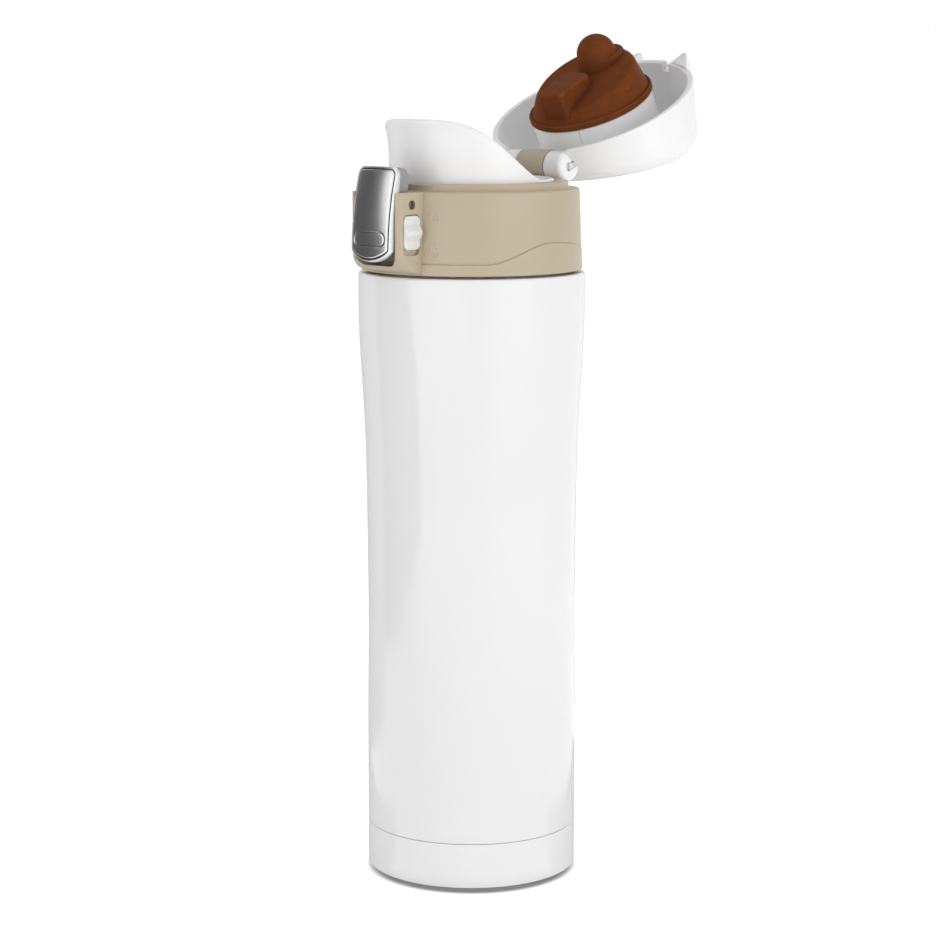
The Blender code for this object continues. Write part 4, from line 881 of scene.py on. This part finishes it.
def drum(look):
    """The drum inside the lid that carries the stopper, with its moulding line."""
    inner = SEAL_FACE_RADIUS - SEAL_WALL

    def top(x, y):
        return lid_top(x, y, LID_WALL) - GAP

    bore = DRUM_RADIUS - DRUM_WALL
    core = level(stopper_face, SEAL_WALL + GAP)
    roof = level(core, DRUM_WALL)
    loops = [[(0, 0, core(0, 0))], ring(inner - GAP, core), ring(inner + DRUM_WALL - GAP, DRUM_END)]
    loops += [ring(DRUM_RADIUS - 0.4, DRUM_END), ring(DRUM_RADIUS - 0.12, DRUM_END + 0.12)]
    loops += [ring(DRUM_RADIUS, DRUM_END + 0.4), ring(DRUM_RADIUS, top), ring(bore, top)]
    loops += [ring(bore, DRUM_END + DRUM_WALL), ring(inner, DRUM_END + DRUM_WALL)]
    loops += [ring(inner - DRUM_WALL, roof), [(0, 0, roof(0, 0))]]
    body = skin("lid_drum", loops)
    line = box("line", (-0.13, -DRUM_RADIUS - 1, 0), (0.13, 0.3 - DRUM_RADIUS, 2 * RIM))
    line.data.transform(Matrix.Rotation(DRUM_SEAM, 4, "Z"))
    cut(body, line)
    dress(swing(body), "lid", "lid_inner", look["white"])


def stopper(look):
    """The silicone stopper: a slanted cone with a dome and a block, melted together, under a grooved flange."""
    cone_top = SEAL_TOP - SEAL_LIP + 0.6
    neck = SEAL_RADIUS - 0.6
    loops = [[(0, 0, stopper_face(0, 0))]]
    for angle in range(0, 90, 15):
        drop = SEAL_EDGE * (1 - cos(radians(angle)))
        loops.append(ring(SEAL_FACE_RADIUS - SEAL_EDGE * (1 - sin(radians(angle))), level(stopper_face, drop)))
    loops += [ring(neck - 0.35, cone_top), [(0, 0, cone_top)]]
    cone = skin("stopper", loops)
    wide, place, step = DOME_STEP
    foot = rounded([(0, SEAL_FACE + 1), (wide, SEAL_FACE + 1), (wide, step, 0.8), (0, step)])
    profile = [(0, SEAL_FACE + 1), (DOME_RADIUS, SEAL_FACE + 1)]
    profile += arc((0, DOME_CENTRE), DOME_RADIUS, 0, -90, 20)[:-1] + [(0, DOME_CENTRE - DOME_RADIUS)]
    join(cone, lathe("foot", foot, SMALL_ROUND, (0.0, place)))
    join(cone, lathe("dome", profile, SMALL_ROUND, (0.0, DOME_PLACE)))
    start, end = BLOCK_ENDS
    plan = [(-BLOCK_HALF, end, BLOCK_CORNER), (-BLOCK_HALF, start, BLOCK_EDGE), (BLOCK_HALF, start, BLOCK_EDGE)]
    plan = rounded(plan + [(BLOCK_HALF, end, BLOCK_CORNER)], 6)
    heights = []
    for angle in range(0, 91, 15):
        turn = radians(angle)
        heights.append((BLOCK_LOW + BLOCK_CROWN * (1 - cos(turn)), BLOCK_CROWN * (1 - sin(turn))))
    heights.append((SEAL_TOP - 1, 0))
    middle = (start + end) / 2
    loops = []
    for z, inset in heights:
        shrink = (1 - inset / BLOCK_HALF, 1 - inset / (end - middle))
        loops.append([(x * shrink[0], middle + (y - middle) * shrink[1], z) for x, y in plan])
    join(cone, skin("block", loops))
    trim = SEAL_RADIUS
    cut(cone, box("trim", (-2 * trim, -2 * trim, cone_top), (2 * trim, 2 * trim, cone_top + 20)))
    melt = cone.modifiers.new("melt", "REMESH")
    melt.mode = "VOXEL"
    melt.voxel_size = REMESH * MM
    smooth = cone.modifiers.new("smooth", "SMOOTH")
    smooth.factor = 0.5
    smooth.iterations = 3
    dress(swing(bake(cone)), "lid", "stopper_seal", look["silicone"], 60)
    low = SEAL_TOP - SEAL_LIP
    corners = [(neck - 3, low + 0.3), (neck - 0.5, low + 0.3, 0.3), (neck, low, 0.25), (SEAL_RADIUS, low, 0.5)]
    corners += [(SEAL_RADIUS, SEAL_TOP, 0.4), (neck - 3, SEAL_TOP)]
    dress(swing(lathe("stopper_flange", rounded(corners, 6))), "lid", "stopper_seal", look["silicone"])


def cover_outline(inset):
    """The latch's outline from the front, as (across, along): a shallow chin and round corners."""
    half = COVER_HALF - inset
    bend = COVER_CORNER - inset
    heel = COVER_HEEL - inset
    chin = COVER_CHIN - inset
    top = COVER_TOP - inset
    middle = COVER_CHIN + COVER_BOTTOM
    heel_z = middle - sqrt((chin - heel) ** 2 - (half - heel) ** 2)
    spread = degrees(asin((half - heel) / (chin - heel)))
    points = arc((heel - half, heel_z), heel, 180, 270 - spread, 10)
    points += arc((0, middle), chin, 270 - spread, 270 + spread, 40)[1:-1]
    points += arc((half - heel, heel_z), heel, 270 + spread, 360, 10)
    side = [(half, heel_z + (top - bend - heel_z) * i / 120) for i in range(1, 120)]
    points += side + arc((half - bend, top - bend), bend, 0, 90, 10)
    points += [(half - bend - 2 * (half - bend) * i / 24, top) for i in range(1, 24)]
    points += arc((bend - half, top - bend), bend, 90, 180, 10)
    return points + [(-x, z) for x, z in reversed(side)]


def cover_swell(along):
    """How far the cover swells forward along its length, most at its middle."""
    middle = (COVER_TOP + COVER_BOTTOM) / 2
    return COVER_SWELL * (1 - ((along - middle) / (COVER_TOP - middle)) ** 2)


def cover_face(x, along):
    """Depth of the cover's crowned face, with its thumb dimple."""
    face = COVER_FRONT + COVER_CURVE - sqrt(COVER_CURVE ** 2 - x ** 2) - cover_swell(along)
    straight = DIMPLE_HALF - DIMPLE_RADIUS
    dx = max(0.0, abs(x - DIMPLE[0]) - straight)
    reach = hypot(dx, along - DIMPLE[1]) - DIMPLE_RADIUS
    groove = DIMPLE_GROOVE * ease(1 - abs(reach + DIMPLE_WALL / 2) / (DIMPLE_WALL / 2))
    return face + groove + DIMPLE_DEPTH * ease(-reach / DIMPLE_WALL)


def drawn_in(outline, share, depth):
    """An outline of the latch drawn in towards the cover's middle line, at a depth that follows its place."""
    row = []
    for x, z in outline:
        spine = min(max(z, COVER_MIDDLE[0]), COVER_MIDDLE[1])
        place = (x * share, spine + (z - spine) * share)
        row.append((place[0], depth(*place), place[1]))
    return row


def latch_cover(look):
    """The pressed steel cover: a flat border round a crowned face, with its edge bent back round the lever."""
    def crown(x, along):
        return COVER_FRONT + COVER_CURVE - sqrt((COVER_CURVE - SHEET) ** 2 - x ** 2) + 0.1 - cover_swell(along)

    back = COVER_FRONT + COVER_DEPTH
    inside = cover_outline(SHEET)
    border = [(0, 0.9), (0.05, 0.68), (0.18, 0.53), (0.4, 0.46), (0.68, 0.43), (0.74, 0.5), (0.78, 0.85),
              (1.02, 0.85), (1.06, 0.3), (1.12, 0.12), (1.24, 0.04), (1.45, 0)]
    loops = [drawn_in(inside, share, crown) for share in (0.02, 0.3, 0.7, 1)]
    loops += [[(x, back, z) for x, z in inside], [(x, back, z) for x, z in cover_outline(0)]]
    for inset, drop in border:
        loops.append([(x, cover_face(x, z) + drop, z) for x, z in cover_outline(inset)])
    rim = cover_outline(border[-1][0])
    loops += [drawn_in(rim, 1 - i / COVER_RINGS, cover_face) for i in range(1, COVER_RINGS)]
    dress(lean(skin("latch_plate", loops)), "latch", "latch_cover", look["brushed"], 50)


def lever(look):
    """The lever behind the cover: a hook block over its pin, and an arm below."""
    front = GAP + COVER_FRONT + COVER_DEPTH
    outline = [(front, COVER_TOP), (LEVER_BACK - HOOK_CHAMFER, COVER_TOP), (LEVER_BACK, COVER_TOP - HOOK_CHAMFER)]
    outline += [(LEVER_BACK, 0), (front, 0)]
    block = bar("latch_hook", outline, -LEVER_HALF, LEVER_HALF)
    half, floor, roof, depth = HOOK_POCKET
    cut(block, box("pocket", (-half, LEVER_BACK - depth, floor), (half, 2 * LEVER_HALF, roof)))
    cut(block, box("spring_bay", (-3, -3.2, -1), (3, 9, 2.6)))
    cut(block, rod("pin_hole", LATCH_PIN_RADIUS + GAP, -20, 20))
    dress(lean(soften(block, 0.2, 3, 50)), "latch", "latch_lever", look["grey"])
    inset = SHEET + GAP
    plan = [(max(-ARM_HALF, min(ARM_HALF, x)), z) for x, z in cover_outline(inset) if z < 2]
    face = [(x, COVER_FRONT + COVER_CURVE - sqrt((COVER_CURVE - inset) ** 2 - x ** 2) + 0.75, z) for x, z in plan]
    arm = skin("latch_arm", [face, [(x, ARM_BACK, z) for x, z in plan]])
    cut(arm, box("spring_bay", (-3, -3.2, -5.1), (3, 9, 2.6)))
    cut(arm, rod("pin_hole", LATCH_PIN_RADIUS + GAP, -20, 20))
    dress(lean(arm), "latch", "latch_lever", look["grey"])
    for side, name in ((-1, "left"), (1, "right")):
        corners = [(3.0, LATCH_PIN_RADIUS + GAP), (3.0, BOSS_RADIUS, 0.2), (ARM_HALF, BOSS_RADIUS, 0.3)]
        profile = rounded(corners + [(ARM_HALF, LATCH_PIN_RADIUS + GAP)], 4)
        turns = [2 * pi * i / SMALL_ROUND for i in range(SMALL_ROUND)]
        loops = [[(side * x, r * cos(t), r * sin(t)) for t in turns] for x, r in profile]
        dress(lean(skin("latch_boss_" + name, loops, closed=True)), "latch", "latch_lever", look["grey"])


def pin(name, node, radius, end, place, look):
    corners = [(-end, 0.02), (-end, radius, 0.3), (end, radius, 0.3), (end, 0.02)]
    item = spindle(name, rounded(corners, 5), place.y, place.z)
    dress(item, "collar", node, look)


def coil(shape, start):
    """Points of a coil along X about the origin, with its first point at the bottom."""
    radius, turns, pitch, _ = shape
    points = []
    for i in range(turns * CURL_POINTS + 1):
        turn = 2 * pi * i / CURL_POINTS
        points.append(Vector((start + pitch * i / CURL_POINTS, radius * sin(turn), -radius * cos(turn))))
    return points


def springs(look):
    """The torsion springs round the hinge pin and round the latch pin."""
    _, turns, pitch, wire = HINGE_COIL
    points = coil(HINGE_COIL, BARREL_HALF - turns * pitch - 2 * GAP)
    points.append(Vector((HINGE_LEG, points[-1].y, points[-1].z)))
    spring = tube("hinge_torsion_spring", [HINGE + point for point in points], wire)
    dress(spring, "collar", "hinge_spring", look["steel"], 60)
    _, turns, pitch, wire = LATCH_COIL
    points = coil(LATCH_COIL, -turns * pitch / 2)
    quarter = CURL_POINTS * 2 // 9
    points = points[quarter:-quarter]
    ends = [Vector((point.x, point.y, -LATCH_LEG)) for point in (points[0], points[-1])]
    points = ends[:1] + points + ends[1:]
    spring = tube("latch_torsion_spring", [PIVOT + point for point in points], wire)
    dress(spring, "collar", "latch_spring", look["steel"], 60)


def slider(look):
    """The lock's slider: a rounded tile with a soft finger rib outside, and a flange and a tab inside."""
    y, z = SLOT_MIDDLE
    top = z + SLOT_HEIGHT / 2 - GAP
    low = top - SLIDER_HEIGHT
    half = SLOT_WIDTH / 2 - FINE_GAP
    outer = HOUSING_HALF + SLIDER_PROUD
    inner = HOUSING_INNER - GAP
    corners = [(y - half, low), (y + half, low), (y + half, top), (y - half, top)]

    def plan(inset):
        middle = (y, (low + top) / 2)
        outline = rounded([(*corner, SLOT_CORNER) for corner in corners], 8)
        shrink = (1 - inset / half, 1 - 2 * inset / SLIDER_HEIGHT)
        return [(middle[0] + (a - middle[0]) * shrink[0], middle[1] + (b - middle[1]) * shrink[1])
                for a, b in outline]

    rows = [(HOUSING_INNER + SLOT_FLOOR + 0.1, 0), (outer - 0.5, 0), (outer - 0.15, 0.1), (outer, 0.45)]
    tile = skin("lock_tile", [[(x, a, b) for a, b in plan(inset)] for x, inset in rows])
    middle = (low + top) / 2
    reach = SLOT_HEIGHT / 2 - SLOT_NECK
    travel = SLOT_HEIGHT - SLIDER_HEIGHT - 2 * GAP
    neck = (y + GAP - 1, y + SLOT_WIDTH / 2 - GAP - SLOT_NECK / 2, z + travel + GAP - reach, z + reach - GAP)
    join(tile, box("neck", (inner - 0.1, neck[0], neck[2]), (outer - 0.5, neck[1], neck[3])))
    crest = outer + SLIDER_RIB
    section = [(outer - 0.4, middle - 3.0), (outer - 0.05, middle - 2.6, 1.5), (crest, middle - 0.5, 0.7)]
    section += [(crest, middle + 0.5, 0.7), (outer - 0.05, middle + 2.6, 1.5), (outer - 0.4, middle + 3.0)]
    section = rounded(section, 8)
    loops = []
    for place, sink in ((-half + 0.05, 0.6), (-half + 0.3, 0.2), (-half + 0.8, 0), (half - 0.8, 0),
                        (half - 0.3, 0.2), (half - 0.05, 0.6)):
        loops.append([(max(outer - 0.5, x - sink), y + place, b) for x, b in section])
    dress(tile, "lock", "lock_slider", look["lock"])
    dress(skin("lock_rib", loops), "lock", "lock_slider", look["lock"], 50)
    front = y - half + 1.6
    flange = box("lock_flange", (inner - 1.2, front, low - 0.9), (inner + 0.05, y + half, top + 0.9))
    tab = box("tab", (inner - 2.8, front + GAP, top - 3.2), (inner - 1.1, y + half - GAP, top - 0.8))
    dress(soften(join(flange, tab), 0.2, 2), "lock", "lock_slider", look["lock"])


def matt(name, shade, glow=0.0):
    """A matt stage material, with a light of its own."""
    material = bpy.data.materials.new(name)
    material.use_nodes = True
    shader = material.node_tree.nodes["Principled BSDF"]
    shader.inputs["Base Color"].default_value = (shade, shade, shade, 1)
    shader.inputs["Roughness"].default_value = 0.9
    shader.inputs["Specular IOR Level"].default_value = 0.0
    shader.inputs["Emission Color"].default_value = (1, 1, 1, 1)
    shader.inputs["Emission Strength"].default_value = glow
    return material


def sheet(name, points, material):
    """A flat piece of the stage."""
    mesh = bpy.data.meshes.new(name)
    mesh.from_pydata(points, [], [range(len(points))])
    mesh.materials.append(material)
    item = link(name, mesh)
    return item


def shown(nodes, links):
    """A socket that is 1 for what the camera sees, by itself, in a reflection or through glass."""
    path = nodes.new("ShaderNodeLightPath")
    seen = path.outputs["Is Camera Ray"]
    for name in ("Is Glossy Ray", "Is Transmission Ray"):
        most = nodes.new("ShaderNodeMath")
        most.operation = "MAXIMUM"
        links.new(seen, most.inputs[0])
        links.new(path.outputs[name], most.inputs[1])
        seen = most.outputs[0]
    return seen


def floor():
    """A white floor with a painted contact shadow close to the mug's foot, which fades with the distance from it."""
    material = matt("floor", FLOOR_SHADE)
    nodes = material.node_tree.nodes
    links = material.node_tree.links
    shader = nodes["Principled BSDF"]
    place = nodes.new("ShaderNodeTexCoord")
    away = nodes.new("ShaderNodeVectorMath")
    away.operation = "DISTANCE"
    away.inputs[1].default_value = stand(0, SHADOW_SHIFT)
    links.new(place.outputs["Object"], away.inputs[0])
    fade = nodes.new("ShaderNodeMapRange")
    fade.interpolation_type = "SMOOTHSTEP"
    fade.inputs["From Min"].default_value = SHADOW_EDGE[0]
    fade.inputs["From Max"].default_value = SHADOW_EDGE[1]
    fade.inputs["To Max"].default_value = FLOOR_SHADE
    links.new(away.outputs["Value"], fade.inputs["Value"])
    links.new(fade.outputs["Result"], shader.inputs["Base Color"])
    links.new(fade.outputs["Result"], shader.inputs["Emission Color"])
    seen = shown(nodes, links)
    core = nodes.new("ShaderNodeMapRange")
    core.inputs["To Min"].default_value = FLOOR_SHADE
    core.inputs["To Max"].default_value = SHADOW_SHADE
    links.new(seen, core.inputs["Value"])
    links.new(core.outputs["Result"], fade.inputs["To Min"])
    glow = nodes.new("ShaderNodeMath")
    glow.operation = "MULTIPLY"
    glow.inputs[1].default_value = FLOOR_GLOW
    links.new(seen, glow.inputs[0])
    links.new(glow.outputs[0], shader.inputs["Emission Strength"])
    span = FLOOR_REACH
    sheet("floor", [(-span, -span, 0), (span, -span, 0), (span, span, 0), (-span, span, 0)], material)


def world():
    """White to the camera, to reflections and through glass, and a lower, even light on the mug."""
    sky = bpy.data.worlds.new("studio")
    sky.use_nodes = True
    nodes = sky.node_tree.nodes
    links = sky.node_tree.links
    level = nodes.new("ShaderNodeMapRange")
    level.inputs["To Min"].default_value = SKY_LIGHT
    level.inputs["To Max"].default_value = 1.0
    links.new(shown(nodes, links), level.inputs["Value"])
    background = nodes["Background"]
    background.inputs["Color"].default_value = (1, 1, 1, 1)
    links.new(level.outputs["Result"], background.inputs["Strength"])
    bpy.context.scene.world = sky


def stand(turn, out):
    """A place round the mug: degrees to the camera's right, and metres from the mug's axis."""
    angle = CAMERA_TURN + radians(turn)
    return Vector((out * sin(angle), -out * cos(angle), 0))


def softbox(name, turn, out, low, high, width, radiance):
    """An upright soft light that faces the mug."""
    data = bpy.data.lights.new(name, "AREA")
    data.shape = "RECTANGLE"
    data.size = width
    data.size_y = high - low
    data.energy = radiance * pi * width * (high - low)
    item = link(name, data)
    item.location = stand(turn, out) + Vector((0, 0, (low + high) / 2))
    item.rotation_euler = (pi / 2, 0, CAMERA_TURN + radians(turn))
    item.visible_camera = False
    item.visible_glossy = False


def card(name, turn, out, low, high, width, shade, glow=0.0, aslant=0.0):
    """An upright card that only shows in reflections. Its lower edge may be set aside, to the camera's right."""
    across = stand(turn + 90, width / 2)
    shift = stand(turn + 90, aslant)
    foot = stand(turn, out)
    points = [(p.x, p.y, low) for p in (foot - across + shift, foot + across + shift)]
    points += [(p.x, p.y, high) for p in (foot + across, foot - across)]
    only_reflected(sheet(name, points, matt(name, shade, glow)))


def only_reflected(item):
    for path in ("camera", "diffuse", "shadow", "transmission"):
        setattr(item, "visible_" + path, False)


def floor_card(name, low, near, far, width, glow):
    """A card that lies just over the floor, from before the mug's axis to behind it, and only shows in reflections."""
    across = stand(90, width / 2)
    ends = stand(0, near), stand(180, far)
    points = [(p.x, p.y, low) for p in (ends[0] + across, ends[1] + across, ends[1] - across, ends[0] - across)]
    only_reflected(sheet(name, points, matt(name, 0.0, glow)))


def lights():
    softbox("left_softbox", -52, 0.62, 0.0, 0.5, 0.62, 1.6)
    softbox("right_softbox", 55, 0.62, 0.0, 0.5, 0.6, 2.1)
    data = bpy.data.lights.new("top_softbox", "AREA")
    data.size = 1.0
    data.energy = 0.7 * pi
    item = link("top_softbox", data)
    item.location = (0, 0, 1.3)
    item.visible_camera = False
    card("left_window", -51, 0.4, 0.06, 0.5, 0.46, 0.0, 1.7, 0.2)
    card("right_window", 48, 0.4, 0.06, 0.5, 0.34, 0.0, 1.5, -0.1)
    card("dark_card", -106, 0.36, 0.0, 0.6, 0.86, 0.13)
    card("back_card", 205, 0.143, 0.0, 0.5, 0.34, 0.0, 0.6)
    floor_card("foot_card", 0.0006, 0.02, 0.14, 0.2, 0.6)


def camera():
    data = bpy.data.cameras.new("camera")
    data.lens = CAMERA_LENS
    data.sensor_width = 36
    item = link("camera", data)
    right = Vector((cos(CAMERA_TURN), sin(CAMERA_TURN), 0))
    item.location = stand(0, CAMERA_OUT) + right * CAMERA_ASIDE + Vector((0, 0, CAMERA_HEIGHT))
    item.rotation_euler = (pi / 2 - CAMERA_PITCH, 0, CAMERA_TURN)
    bpy.context.scene.camera = item


def mug():
    look = looks()
    bottle(look)
    carried_nodes(look)
    gasket(look)
    collar_wall(look)
    housing(look)
    hinge_barrel(look)
    marks(look)
    spout(look)
    lid_cap(look)
    lid_fittings(look)
    drum(look)
    stopper(look)
    latch_cover(look)
    lever(look)
    pin("hinge_rod", "hinge_pin", HINGE_PIN_RADIUS, KNUCKLE[1] - 0.8, HINGE, look["steel"])
    # the latch pin's dark steel is partly painted shade for its hole
    pin("latch_rod", "latch_pin", LATCH_PIN_RADIUS, HOUSING_HALF - 0.6, PIVOT, look["dark_steel_and_hole_shade"])
    springs(look)
    slider(look)


mug()
floor()
world()
lights()
camera()
bpy.context.scene.view_settings.view_transform = "Standard"
